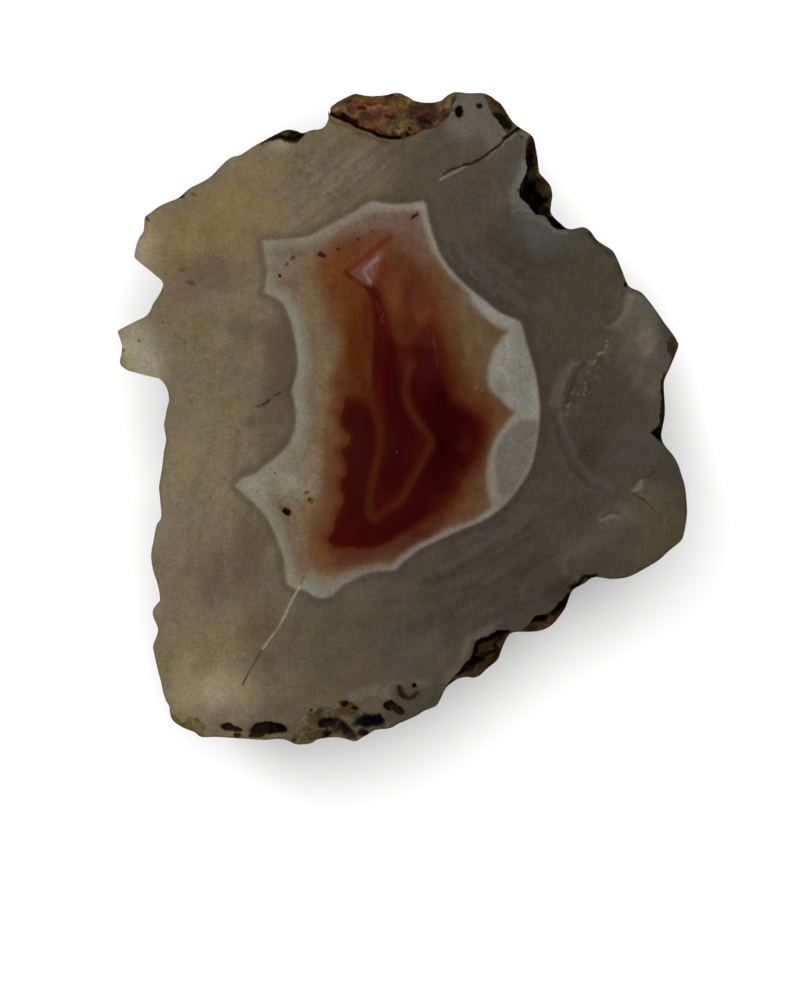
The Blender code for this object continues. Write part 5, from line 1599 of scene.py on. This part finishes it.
def flank_rings(angles, even_angles, start_depth):
    """Rings from just under the rim down to the flat spot, with fewer columns further down."""
    crowded = (1.0 - np.linspace(0.0, 1.0, LOWER_RINGS + 1)[1:]) ** LOWER_CROWDING
    shares = np.concatenate([
        np.linspace(0.0, UPPER_SHARE, UPPER_RINGS + 1)[1:],
        np.linspace(UPPER_SHARE, MIDDLE_SHARE, MIDDLE_RINGS + 1)[1:],
        1.0 - (1.0 - MIDDLE_SHARE) * crowded,
    ])
    rings = []
    for index, share in enumerate(shares):
        step = 1 if index < UPPER_RINGS else 2 if index < UPPER_RINGS + MIDDLE_RINGS else 4
        eased = angles + (even_angles - angles) * smooth_step(0.0, COLUMNS_EVEN_BY, share)
        rings.append(flank_ring(eased[::step] % 360.0, start_depth[::step], share))
    return rings


def ring_faces(upper, lower):
    """Faces between two rings. The lower one has as many columns as the upper, or half as many."""
    if len(upper) == len(lower):
        nexts = np.roll(upper, -1), np.roll(lower, -1)
        return [list(quad) for quad in zip(upper, lower, nexts[1], nexts[0])]
    faces = []
    for index in range(len(lower)):
        first, middle = upper[2 * index], upper[2 * index + 1]
        last = upper[(2 * index + 2) % len(upper)]
        left, right = lower[index], lower[(index + 1) % len(lower)]
        faces += [[first, left, middle], [middle, left, right], [middle, right, last]]
    return faces


def cut_side(rim_loop, edge_loop):
    """The cut side from above: its points and triangles, which are polish, and the rim's points."""
    flat = np.vstack([rim_loop, edge_loop, face_points(rim_loop, edge_loop)])
    ahead = [(index, (index + 1) % RIM_COLUMNS) for index in range(RIM_COLUMNS)]
    loops = [(first + start, second + start) for start in (0, RIM_COLUMNS) for first, second in ahead]
    made = delaunay_2d_cdt([Vector(point) for point in flat], loops, [], 0, WELD, True)
    places = np.array([tuple(point) for point in made[0]])
    triangles = np.array([list(face) for face in made[2]])
    triangles = triangles[inside(places[triangles].mean(axis=1), rim_loop)]
    middles = places[triangles].mean(axis=1)
    worn = pit_depths(middles) + groove_depths(middles) >= WORN_DEPTH
    found = np.full(len(flat), -1)
    for index, origins in enumerate(made[3]):
        for origin in origins:
            found[origin] = index
    return places, triangles, inside(middles, edge_loop) & ~worn, found[:RIM_COLUMNS]


def stone_surface():
    """Points and faces, the material of each face, and the rind share and relief of each point."""
    angles, even_angles = rim_columns()
    rim, edge, _ = ledges_at(angles)
    rim_loop = ways(angles) * rim[:, None]
    edge_loop = ways(angles) * edge[:, None]
    places, triangles, polished, upper = cut_side(rim_loop, edge_loop)
    heights = face_heights(places)
    points = [np.column_stack([places, heights])]
    rind = [np.zeros(len(places))]
    relief = [np.zeros(len(places))]
    faces = triangles.tolist()
    count = len(places)
    for ring, ring_rind, ring_relief in flank_rings(angles, even_angles, HEIGHT - heights[upper]):
        lower = np.arange(count, count + len(ring))
        faces += ring_faces(upper, lower)
        points.append(ring)
        rind.append(ring_rind)
        relief.append(ring_relief)
        count += len(ring)
        upper = lower
    points.append(np.zeros((1, 3)))
    rind.append(np.ones(1))
    relief.append(np.zeros(1))
    faces += [[count, int(after), int(before)] for before, after in zip(upper, np.roll(upper, -1))]
    rind = np.concatenate(rind)
    material = [POLISHED if smooth else NATURAL for smooth in polished]
    material += [NATURAL if rind[face].mean() > 0.5 else BROKEN for face in faces[len(polished):]]
    return {
        "points": np.vstack(points), "faces": faces, "rind": rind, "relief": np.concatenate(relief),
        "material": material, "on_top": len(places),
    }


# Colours of the cut side and the flank
def rgb(colour):
    """A colour from 0 to 255 as shares."""
    return np.array(colour, float) / 255.0


def lay(colour, share, target):
    """Lays a colour over the others, by a share at each point."""
    colour += (rgb(target) - colour) * np.asarray(share)[:, None]


def lay_near(colour, near, share, target):
    """Lays a colour on some of the points only, by a share at each of those."""
    part = colour[near]
    lay(part, share, target)
    colour[near] = part


def patch_share(points, centre, half, turn, firmness=SOFT_PATCH):
    """How much of a soft oval patch covers each point."""
    x, y = turned_away(points, centre, half, turn)
    return np.exp(-((x * x + y * y) ** firmness))


def lay_patches(colour, points, patches, share=1.0, firmness=SOFT_PATCH):
    """Lays the oval patches of a table, each in its own strength."""
    for _, centre, half, turn, target, strength in patches:
        lay(colour, patch_share(points, centre, half, turn, firmness) * strength * share, target)


def line_share(points, line, width, edge):
    """How much of a soft line of this half width covers each point."""
    path = spline(line, LINE_STEP)
    share = np.zeros(len(points))
    near = box_near(points, path, width + edge)
    share[near] = 1.0 - smooth_step(width - edge, width + edge, nearest_on(points[near], path))
    return share


def lay_lines(colour, points, lines):
    """Lays the soft lines of a table."""
    for line, width, edge, target, strength in lines:
        lay(colour, line_share(points, line, width, edge) * strength, target)


def lay_dotted(colour, points, streaks, seed):
    """Streaks broken up into short dashes that run along them."""
    for line, width, edge, target, strength in streaks:
        near = box_near(points, spline(line, GROOVE_STEP), width + edge)
        way = np.subtract(line[-1], line[0])
        along_across = along_and_across(points[near], way / np.hypot(*way), DASH_STRETCH)
        dots = smooth_step(0.0, DOT_SHARE, noise_at(along_across, DOT_SIZE, seed))
        lay_near(colour, near, line_share(points[near], line, width, edge) * dots * strength, target)


def lay_flecks(colour, points, flecks, seed=0.0):
    """Lays the noise flecks of a table."""
    for size, shift, limits, strength, target in flecks:
        lay(colour, smooth_step(*limits, noise_at(points, size, seed + shift)) * strength, target)


def mottle(colour, points, mottles, channels):
    """Makes the light of all channels uneven, and then the hue by some of them."""
    for size, light, hue, seed in mottles:
        colour *= 1.0 + light * noise_at(points, size, seed)[:, None]
        for channel, seeds in channels:
            colour[:, channel] *= 1.0 + hue * noise_at(points, size, seed + seeds)


def lay_hatchings(colour, points):
    """Fine parallel streaks of light in parts of the grey stone."""
    for centre, half, turn, size, light, seed in HATCHINGS:
        way = np.array([math.cos(math.radians(turn)), math.sin(math.radians(turn))])
        hatch = noise_at(along_and_across(points, way, HATCH_STRETCH), size, seed)
        colour *= 1.0 + light * (hatch * patch_share(points, centre, half, turn))[:, None]


def lay_zones(colour, points):
    """Zones of tint with clear outlines in the grey stone."""
    for outline, edge, target, strength in BODY_ZONES:
        near = box_near(points, np.array(outline), edge)
        depth = depth_in(points[near], spline(outline, OUTLINE_STEP, True))
        lay_near(colour, near, smooth_step(-edge, edge, depth) * strength, target)


def lay_outer_bands(colour, points, to_band):
    """Faint bands that follow the white one outside it, each near its own centre."""
    size, wander, seed = BAND_WANDER
    outward = -to_band + wander * noise_at(points, size, seed)
    for _, distance, width, centre, reach, target, strength in OUTER_BANDS:
        band = np.exp(-(((outward - distance) / width) ** 2))
        away = np.hypot(*(points - centre).T) / reach
        lay(colour, band * np.exp(-(away**2)) * strength, target)


def body_colours(points, to_band):
    """Grey stone: lighter and warmer on the left, with soft patches and faint bands."""
    moved = warped(points, BODY_WARPS)
    share = smooth_step(*GREY_X, moved[:, 0] - GREY_LEAN * moved[:, 1])
    colour = rgb(GREY_LEFT) + (rgb(GREY_RIGHT) - rgb(GREY_LEFT)) * share[:, None]
    lay_patches(colour, moved, BODY_PATCHES)
    mottle(colour, points @ STREAK_WAY, MOTTLES, MOTTLE_CHANNELS)
    lay_hatchings(colour, points)
    near = warped(points, BODY_LINE_WARPS)
    lay_zones(colour, near)
    lay_outer_bands(colour, points, to_band)
    lay_lines(colour, near, BODY_LINES)
    lay_dotted(colour, points, DARK_STREAKS, DARK_SEED)
    lay_dotted(colour, points, GLINT_STREAKS, GLINT_SEED)
    return colour * BODY_WARMTH


def lay_red(colour, points, moved, fine):
    """The red stain, its dark orange fringe and its patches."""
    x, y = points.T
    shift = RED_REACH_ON * smooth_step(*RED_REACH_X, fine[:, 0]) * smooth_step(*RED_REACH_Y, fine[:, 1])
    shift -= RED_SET_BACK * smooth_step(*RED_SET_BACK_X, fine[:, 0])
    red = depth_in(fine, arcs_outline(RED_ARCS, RED_STEP)) + shift
    edge = RED_EDGE_LEFT + (RED_EDGE_RIGHT - RED_EDGE_LEFT) * smooth_step(*RED_EDGE_X, x)
    edge = np.maximum(edge, RED_EDGE_TOP * smooth_step(*RED_TOP_Y, y))
    in_strip = 1.0 - smooth_step(*LEFT_STRIP_TOP, moved[:, 1]) * smooth_step(*LEFT_STRIP_X, moved[:, 0])
    fringe = smooth_step(-FRINGE_OUT - edge, FRINGE_IN, red)
    lay(colour, fringe * FRINGE_STRENGTH * in_strip, FRINGE)
    in_red = smooth_step(-edge, edge, red) * in_strip
    lay(colour, in_red, RED)
    lay_patches(colour, moved, RED_PATCHES, in_red)


def lay_ochre_loop(colour, points, fine):
    """The wavy ochre loop in the red, and its fainter upper limbs on the right."""
    x, y = points.T
    loop = line_share(fine, OCHRE_LOOP, OCHRE_WIDTH, OCHRE_EDGE)
    lay(colour, loop * OCHRE_STRENGTH * (1.0 - smooth_step(*OCHRE_LOWER_Y, y)), OCHRE)
    upper = smooth_step(*OCHRE_UPPER_Y, y) * (x > OCHRE_UPPER_X)
    lay(colour, loop * OCHRE_UPPER_STRENGTH * upper, OCHRE_UPPER)


def centre_colours(points):
    """Cream to tan filling with the orange, red and ochre stains of the centre."""
    moved = warped(points, CENTRE_WARPS)
    fine = warped(points, CENTRE_LINE_WARPS)
    share = smooth_step(*CENTRE_X, moved[:, 0])
    colour = rgb(CENTRE_CREAM) + (rgb(CENTRE_TAN) - rgb(CENTRE_CREAM)) * share[:, None]
    lay_patches(colour, moved, CENTRE_PATCHES)
    orange = depth_in(moved, arcs_outline(ORANGE_ARCS, ORANGE_STEP))
    lay(colour, smooth_step(-ORANGE_EDGE, ORANGE_EDGE, orange), ORANGE)
    lay_patches(colour, moved, ORANGE_PATCHES)
    lay_red(colour, points, moved, fine)
    lay_ochre_loop(colour, points, fine)
    lay_lines(colour, fine, CENTRE_LINES)
    mottle(colour, points, CENTRE_MOTTLES, CENTRE_CHANNELS)
    kite = depth_in(fine, arcs_outline(KITE_ARCS, KITE_STEP))
    lay(colour, smooth_step(*KITE_EDGE, kite) * KITE_STRENGTH, KITE_PINK)
    lay_lines(colour, fine, KITE_GLINTS)
    return colour * CENTRE_WARMTH


def white_colours(points, to_band):
    """The white band, greyer on the right and at the bottom."""
    x, y = points.T
    colour = np.tile(rgb(WHITE_LEFT), (len(points), 1))
    lay(colour, smooth_step(*WHITE_TOP_Y, y), WHITE_TOP)
    in_lobe = smooth_step(*LOBE_X, x) * smooth_step(*LOBE_Y, y)
    lay(colour, in_lobe, WHITE_LOBE)
    lay(colour, smooth_step(*WHITE_LOW_Y, y) * smooth_step(*WHITE_LOW_X, x), WHITE_LOW)
    inner_half = smooth_step(*WHITE_INNER_DEPTH, to_band) * (1.0 - in_lobe)
    lay(colour, inner_half * smooth_step(*WHITE_INNER_X, x) * WHITE_INNER_STRENGTH, WHITE_INNER)
    lay_patches(colour, warped(points, WHITE_WARPS), WHITE_PATCHES)
    return colour


def rind_colours(points, relief, seed=0.0):
    """Earthy brown rind in firm flecks of ochre, red, pale and near black, dark in its hollows."""
    colour = np.tile(rgb(RIND_BROWN), (len(points), 1))
    lay_flecks(colour, points, RIND_FLECKS, seed)
    lay(colour, smooth_step(*HOLLOWS, relief) * HOLLOW_STRENGTH, RIND_DARK)
    lay(colour, smooth_step(*CRESTS, relief) * CREST_STRENGTH, RIND_PALE)
    return colour


def flank_colours(points, rind, relief):
    """The flank: tan waxy stone where it is broken, and weathered rind elsewhere."""
    colour = np.tile(rgb(BREAK_TAN), (len(points), 1))
    lay_flecks(colour, points, BREAK_FLECKS)
    crust = rind_colours(points, relief, FLANK_SEED)
    lay_flecks(crust, points, FLANK_FLECKS)
    colour += (crust - colour) * rind[:, None]
    return colour


def lay_centre(colour, points, to_band):
    """The white band and all that it holds, on the points within its outline."""
    middle = points[to_band > -BAND_OVERLAP]
    depth = to_band[to_band > -BAND_OVERLAP]
    x = middle[:, 0]
    centre = centre_colours(middle)
    to_inner = depth_in(middle, arcs_outline(BAND_INNER_ARCS))
    glow = np.exp(-np.maximum(to_inner, 0.0) / GLOW_REACH) * smooth_step(*GLOW_X, x)
    lay(centre, glow * GLOW_STRENGTH, WHITE_GLOW)
    hazy = HAZE * smooth_step(*HAZE_X, x)
    in_white = 1.0 - smooth_step(-WHITE_EDGE - HAZE_IN * hazy, WHITE_EDGE + HAZE_OUT * hazy, to_inner)
    centre += (white_colours(middle, depth) - centre) * in_white[:, None]
    fill = depth_in(middle, arcs_outline(LOBE_FILL_ARCS))
    lay(centre, smooth_step(-LOBE_FILL_EDGE, LOBE_FILL_EDGE, fill) * LOBE_FILL_STRENGTH, LOBE_FILL_GREY)
    part = colour[to_band > -BAND_OVERLAP]
    colour[to_band > -BAND_OVERLAP] = part + (centre - part) * smooth_step(*BAND_EDGE, depth)[:, None]


def lay_crust(colour, points):
    """The rough rind on the ledges of the cut side, with painted light and shade that follow its relief, and
    painted shade on the walls of deep ledges.
    """
    share, rough, drops = ledge_parts(points)
    on_ledge = (share > 0.0) & (rough > 0.0)
    ledge = points[on_ledge]
    relief = rind_relief(ledge)
    crust = rind_colours(ledge, -relief)
    lay_patches(crust, warped(ledge, CRUST_WARPS), CRUST_PATCHES, firmness=FIRM_PATCH)
    size, grain, seed = CRUST_GRAIN
    # Painted light and shade: lighter on the raised parts of the crust, darker in its hollows, with a grain
    light = CRUST_PAINTED_LIGHT - CRUST_PAINTED_SHADE * np.clip(relief, -CRUST_LIMIT, CRUST_LIMIT)
    crust *= (light + grain * noise_at(ledge, size, seed))[:, None]
    # Painted shade on the steep walls of the deep ledges
    in_wall = 1.0 - smooth_step(WALL_SHARE, WALL_FADE * WALL_SHARE, share[on_ledge])
    lay(crust, in_wall * smooth_step(*DEEP_WALL, drops[on_ledge, 0]) * WALL_SHADE_STRENGTH, PAINTED_WALL_SHADE)
    colour[on_ledge] = crust


def lay_pits(colour, points):
    """Dark small pits, each with a faint brown stain round it."""
    for pit in FACE_PITS:
        near, reach = pit_reach(points, pit)
        lay_near(colour, near, (1.0 - smooth_step(*PIT_STAIN_REACH, reach)) * PIT_STAIN_STRENGTH, PIT_STAIN)
        lay_near(colour, near, (1.0 - smooth_step(*PIT_REACH, reach)) * PIT_STRENGTH, pit[4])


def lay_specks(colour, points):
    """Small specks with uneven outlines."""
    for centre, half, turn, target in SPECKS:
        near = np.hypot(*(points - centre).T) < NEARBY * max(half)
        moved = warped(points[near], SPECK_WARPS, SPECK_SEEDS)
        reach = np.hypot(*turned_away(moved, centre, half, turn))
        lay_near(colour, near, 1.0 - smooth_step(*SPECK_REACH, reach), target)


def lay_grooves(colour, points):
    """The colour of the cracks and crevices, worn away here and there."""
    for line, width, _, target, strength in GROOVES:
        path = spline(line, LINE_STEP)
        near = box_near(points, path, GROOVE_NEARBY * width)
        size, reach, seed = GROOVE_WANDER
        distance = nearest_on(points[near], path) + reach * width * noise_at(points[near], size, seed)
        size, reach, seed = GROOVE_WORN
        worn = np.clip(strength * (GROOVE_LEVEL + reach * noise_at(points[near], size, seed)), 0.0, 1.0)
        low, high = GROOVE_EDGE
        lay_near(colour, near, (1.0 - smooth_step(low * width, high * width, distance)) * worn, target)


def face_colours(points):
    """Colour of the cut side at each point, and how deep in the white band's outline it lies."""
    to_band = depth_in(points, arcs_outline(BAND_OUTER_ARCS))
    colour = body_colours(points, to_band)
    beside = np.exp(-((to_band + BESIDE_WIDTH) / BESIDE_WIDTH) ** 2) * (to_band < BESIDE_WIDTH)
    strength = BESIDE_LEFT + BESIDE_MORE * smooth_step(*BESIDE_X, points[:, 0])
    lay(colour, beside * strength, BESIDE_BROWN)
    lay_centre(colour, points, to_band)
    lay_crust(colour, points)
    lay_pits(colour, points)
    lay_specks(colour, points)
    lay_grooves(colour, points)
    return colour, to_band


def linear(colour):
    """sRGB shares as linear ones."""
    colour = np.clip(colour, 0.0, 1.0)
    return np.where(colour <= 0.04045, colour / 12.92, ((colour + 0.055) / 1.055) ** 2.4)


# Materials, the stone, the floor, the lights and the camera
class Nodes:
    """A material and short ways to add nodes to it."""

    def __init__(self, name):
        self.material = bpy.data.materials.new(name)
        self.material.use_nodes = True
        self.tree = self.material.node_tree
        self.shader = self.tree.nodes["Principled BSDF"]
        self.place = self.add("ShaderNodeTexCoord").outputs["Object"]

    def add(self, kind, inputs=(), **settings):
        """A new node with these settings, and values or links on its inputs."""
        node = self.tree.nodes.new(kind)
        for name, value in settings.items():
            setattr(node, name, value)
        for name, value in dict(inputs).items():
            self.feed(node.inputs[name], value)
        return node

    def feed(self, socket, value):
        """Sets a socket to a value, or links another node's output to it."""
        if isinstance(value, bpy.types.NodeSocket):
            self.tree.links.new(value, socket)
        else:
            socket.default_value = value

    def shade(self, **inputs):
        """Feeds the shader's inputs. An underscore in a name stands for a space."""
        for name, value in inputs.items():
            self.feed(self.shader.inputs[name.replace("_", " ")], value)

    def math(self, operation, *values):
        """The result of arithmetic on one or two values."""
        node = self.add("ShaderNodeMath", operation=operation)
        for socket, value in zip(node.inputs, values):
            self.feed(socket, value)
        return node.outputs[0]

    def remap(self, value, limits, results):
        """A value brought from some limits to others."""
        inputs = {"Value": value, "From Min": limits[0], "From Max": limits[1]}
        inputs.update({"To Min": results[0], "To Max": results[1]})
        return self.add("ShaderNodeMapRange", inputs).outputs["Result"]

    def attribute(self, name, output="Fac"):
        """What the mesh holds under this name at each point."""
        return self.add("ShaderNodeAttribute", attribute_name=name).outputs[output]

    def noise(self, size, detail=2.0, stretch=(1.0, 1.0, 1.0), turn=0.0, output=0):
        """Noise from 0 to 1 with features of this size in millimetres. Output 1 is in colours."""
        inputs = {"Vector": self.place, "Rotation": (0.0, 0.0, math.radians(turn)), "Scale": stretch}
        place = self.add("ShaderNodeMapping", inputs).outputs[0]
        inputs = {"Vector": place, "Scale": 1.0 / (size * MM), "Detail": detail}
        return self.add("ShaderNodeTexNoise", inputs).outputs[output]

    def flecked(self, colour, size, reach):
        """A colour in faint flecks of other hues, each channel changed by up to about this share."""
        flecks = self.noise(size, FLECK_DETAIL, output=1)
        inputs = {0: flecks, 1: (2.0 * reach,) * 3, 2: (1.0 - reach,) * 3}
        change = self.add("ShaderNodeVectorMath", inputs, operation="MULTIPLY_ADD").outputs[0]
        return self.add("ShaderNodeVectorMath", {0: colour, 1: change}, operation="MULTIPLY").outputs[0]

    def scaled(self, colour, share):
        """A colour made lighter or darker by a share."""
        return self.add("ShaderNodeVectorMath", {0: colour, "Scale": share}, operation="SCALE").outputs[0]

    def bump(self, height, distance):
        """Fine relief of a height from 0 to 1, this many metres high."""
        inputs = {"Height": height, "Distance": distance, "Strength": 1.0}
        return self.add("ShaderNodeBump", inputs).outputs[0]


def polish_bands(nodes):
    """Faint light and dark bands that follow the white band and wander a little."""
    wander = nodes.math("MULTIPLY", nodes.noise(BANDS_SIZE, BANDS_DETAIL), BANDS_WANDER)
    place = nodes.math("ADD", nodes.attribute("outward"), wander)
    bands = nodes.math("SINE", nodes.math("MULTIPLY", place, BANDS_PER_MM))
    return nodes.remap(bands, (-1.0, 1.0), BANDS_LIGHT)


def polished_material():
    """Polished agate: the tint of each place with fine grain, faint bands and fine wear."""
    nodes = Nodes("polished_agate")
    tint = nodes.attribute("tint", "Color")
    for size, reach in POLISH_FLECKS:
        tint = nodes.flecked(tint, size, reach)
    streak = nodes.noise(STREAK_SIZE, STREAK_DETAIL, STREAK_STRETCH, STREAK_TURN)
    share = nodes.math("MULTIPLY", nodes.remap(streak, MIDDLE_NOISE, STREAK_LIGHT), polish_bands(nodes))
    for size, detail, limits, light in POLISH_GRAIN:
        share = nodes.math("MULTIPLY", share, nodes.remap(nodes.noise(size, detail), limits, light))
    gloss = nodes.noise(POLISH_ROUGHNESS_SIZE, WEAR_DETAIL)
    wear = nodes.noise(WEAR_SIZE, WEAR_DETAIL)
    nodes.shade(
        Base_Color=nodes.scaled(tint, share), IOR=AGATE_IOR, Normal=nodes.bump(wear, POLISH_BUMP),
        Roughness=nodes.remap(gloss, MIDDLE_NOISE, POLISH_ROUGHNESS),
    )
    return nodes.material


def rough_material(name, flecks, roughness, bump, shine):
    """A rough surface: the tint of each place, in flecks, with fine relief."""
    nodes = Nodes(name)
    tint = nodes.attribute("tint", "Color")
    tint = nodes.flecked(tint, ROUGH_FLECK_SIZE, ROUGH_FLECK_REACH * flecks)
    coarse = nodes.noise(*ROUGH_COARSE)
    fine = nodes.noise(*ROUGH_FINE)
    lights = []
    for grain, light in ((fine, FINE_LIGHT), (coarse, COARSE_LIGHT)):
        lights.append(nodes.remap(grain, MIDDLE_NOISE, (1.0 - light * flecks, 1.0 + light * flecks)))
    height = nodes.math("ADD", nodes.math("MULTIPLY", coarse, COARSE_RELIEF), fine)
    nodes.shade(
        Base_Color=nodes.scaled(tint, nodes.math("MULTIPLY", *lights)), IOR=AGATE_IOR,
        Roughness=nodes.remap(coarse, MIDDLE_NOISE, roughness), Specular_IOR_Level=shine,
        Normal=nodes.bump(height, bump),
    )
    return nodes.material


def add_attribute(mesh, name, kind, field, values):
    """Keeps a value for each point in the mesh, for the materials."""
    data = mesh.attributes.new(name, kind, "POINT").data
    data.foreach_set(field, np.ascontiguousarray(values, np.float32).ravel())


def sharpen_between_materials(mesh):
    """Keeps the polish flat right up to its edges, by a sharp edge wherever two materials meet."""
    material = np.empty(len(mesh.polygons), np.int32)
    mesh.polygons.foreach_get("material_index", material)
    corners = np.empty(len(mesh.polygons), np.int32)
    mesh.polygons.foreach_get("loop_total", corners)
    edges = np.empty(len(mesh.loops), np.int32)
    mesh.loops.foreach_get("edge_index", edges)
    material = np.repeat(material, corners)
    low = np.full(len(mesh.edges), BROKEN)
    high = np.full(len(mesh.edges), POLISHED)
    np.minimum.at(low, edges, material)
    np.maximum.at(high, edges, material)
    sharp = np.empty(len(mesh.edges), bool)
    mesh.edges.foreach_get("use_edge_sharp", sharp)
    mesh.edges.foreach_set("use_edge_sharp", sharp | (low != high))


def add_object(name, data):
    """A new object of the scene."""
    made = bpy.data.objects.new(name, data)
    bpy.context.scene.collection.objects.link(made)
    return made


def add_stone():
    """The whole stone as one closed mesh with its tints and three materials."""
    surface = stone_surface()
    points = surface["points"]
    on_top = surface["on_top"]
    mesh = bpy.data.meshes.new("agate_half_stone")
    mesh.from_pydata((points * MM).tolist(), [], surface["faces"])
    top, to_band = face_colours(points[:on_top, :2])
    flank = flank_colours(points[on_top:], surface["rind"][on_top:], surface["relief"][on_top:])
    tint = np.maximum(linear(np.vstack([top, flank])) - POLISH_SHEEN, TINT_FLOOR) / LIGHT_GAIN
    tint = np.column_stack([tint, np.ones(len(tint))])
    add_attribute(mesh, "tint", "FLOAT_COLOR", "color", tint)
    outward = np.concatenate([-to_band, np.full(len(points) - on_top, FAR_OUT)])
    add_attribute(mesh, "outward", "FLOAT", "value", outward)
    mesh.materials.append(polished_material())
    for looks in ROUGH_MATERIALS:
        mesh.materials.append(rough_material(*looks))
    mesh.polygons.foreach_set("material_index", surface["material"])
    mesh.shade_smooth()
    mesh.set_sharp_from_angle(angle=math.radians(SHARP_DEGREES))
    sharpen_between_materials(mesh)
    mesh.validate()
    stone = add_object("agate_half_stone", mesh)
    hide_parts("agate_half")
    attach(stone, "root")


def add_floor():
    """A wide pale sheet just under the stone."""
    mesh = bpy.data.meshes.new("floor")
    signs = ((-1, -1), (1, -1), (1, 1), (-1, 1))
    mesh.from_pydata([(x * FLOOR_HALF, y * FLOOR_HALF, -FLOOR_DROP) for x, y in signs], [], [(0, 1, 2, 3)])
    nodes = Nodes("floor_paper")
    nodes.shade(Base_Color=FLOOR_COLOUR, Roughness=FLOOR_ROUGHNESS, Specular_IOR_Level=FLOOR_SHINE)
    mesh.materials.append(nodes.material)
    add_object("floor", mesh)


def add_lights():
    """Round softboxes that face the stone, and a faint even light from all sides."""
    for name, turn, tilt, distance, size, power, glossy in LIGHTS:
        turn = math.radians(turn)
        tilt = math.radians(tilt)
        way = Vector((math.sin(tilt) * math.cos(turn), math.sin(tilt) * math.sin(turn), math.cos(tilt)))
        lamp = bpy.data.lights.new(name, "AREA")
        lamp.shape = "DISK"
        lamp.size = size
        lamp.energy = power
        softbox = add_object(name, lamp)
        softbox.location = way * distance
        softbox.rotation_euler = way.to_track_quat("Z", "Y").to_euler()
        softbox.visible_glossy = glossy
    world = bpy.data.worlds.new("studio")
    world.use_nodes = True
    background = world.node_tree.nodes["Background"]
    background.inputs["Color"].default_value = WORLD_COLOUR
    background.inputs["Strength"].default_value = WORLD_LIGHT
    world.cycles_visibility.glossy = False
    bpy.context.scene.world = world
    bpy.context.scene.view_settings.view_transform = "Standard"


def add_camera():
    """A camera straight above, far away, that sees this length of the scene from top to bottom."""
    camera = bpy.data.cameras.new("camera")
    camera.sensor_fit = "VERTICAL"
    camera.sensor_height = SENSOR
    camera.sensor_width = SENSOR
    camera.lens = SENSOR * VIEW_HEIGHT / VIEW_LENGTH
    camera.clip_start = CLIP_START
    stand = add_object("camera", camera)
    stand.location = (VIEW_CENTRE[0] * MM, VIEW_CENTRE[1] * MM, (HEIGHT + VIEW_HEIGHT) * MM)
    bpy.context.scene.camera = stand


add_stone()
add_floor()
add_lights()
add_camera()
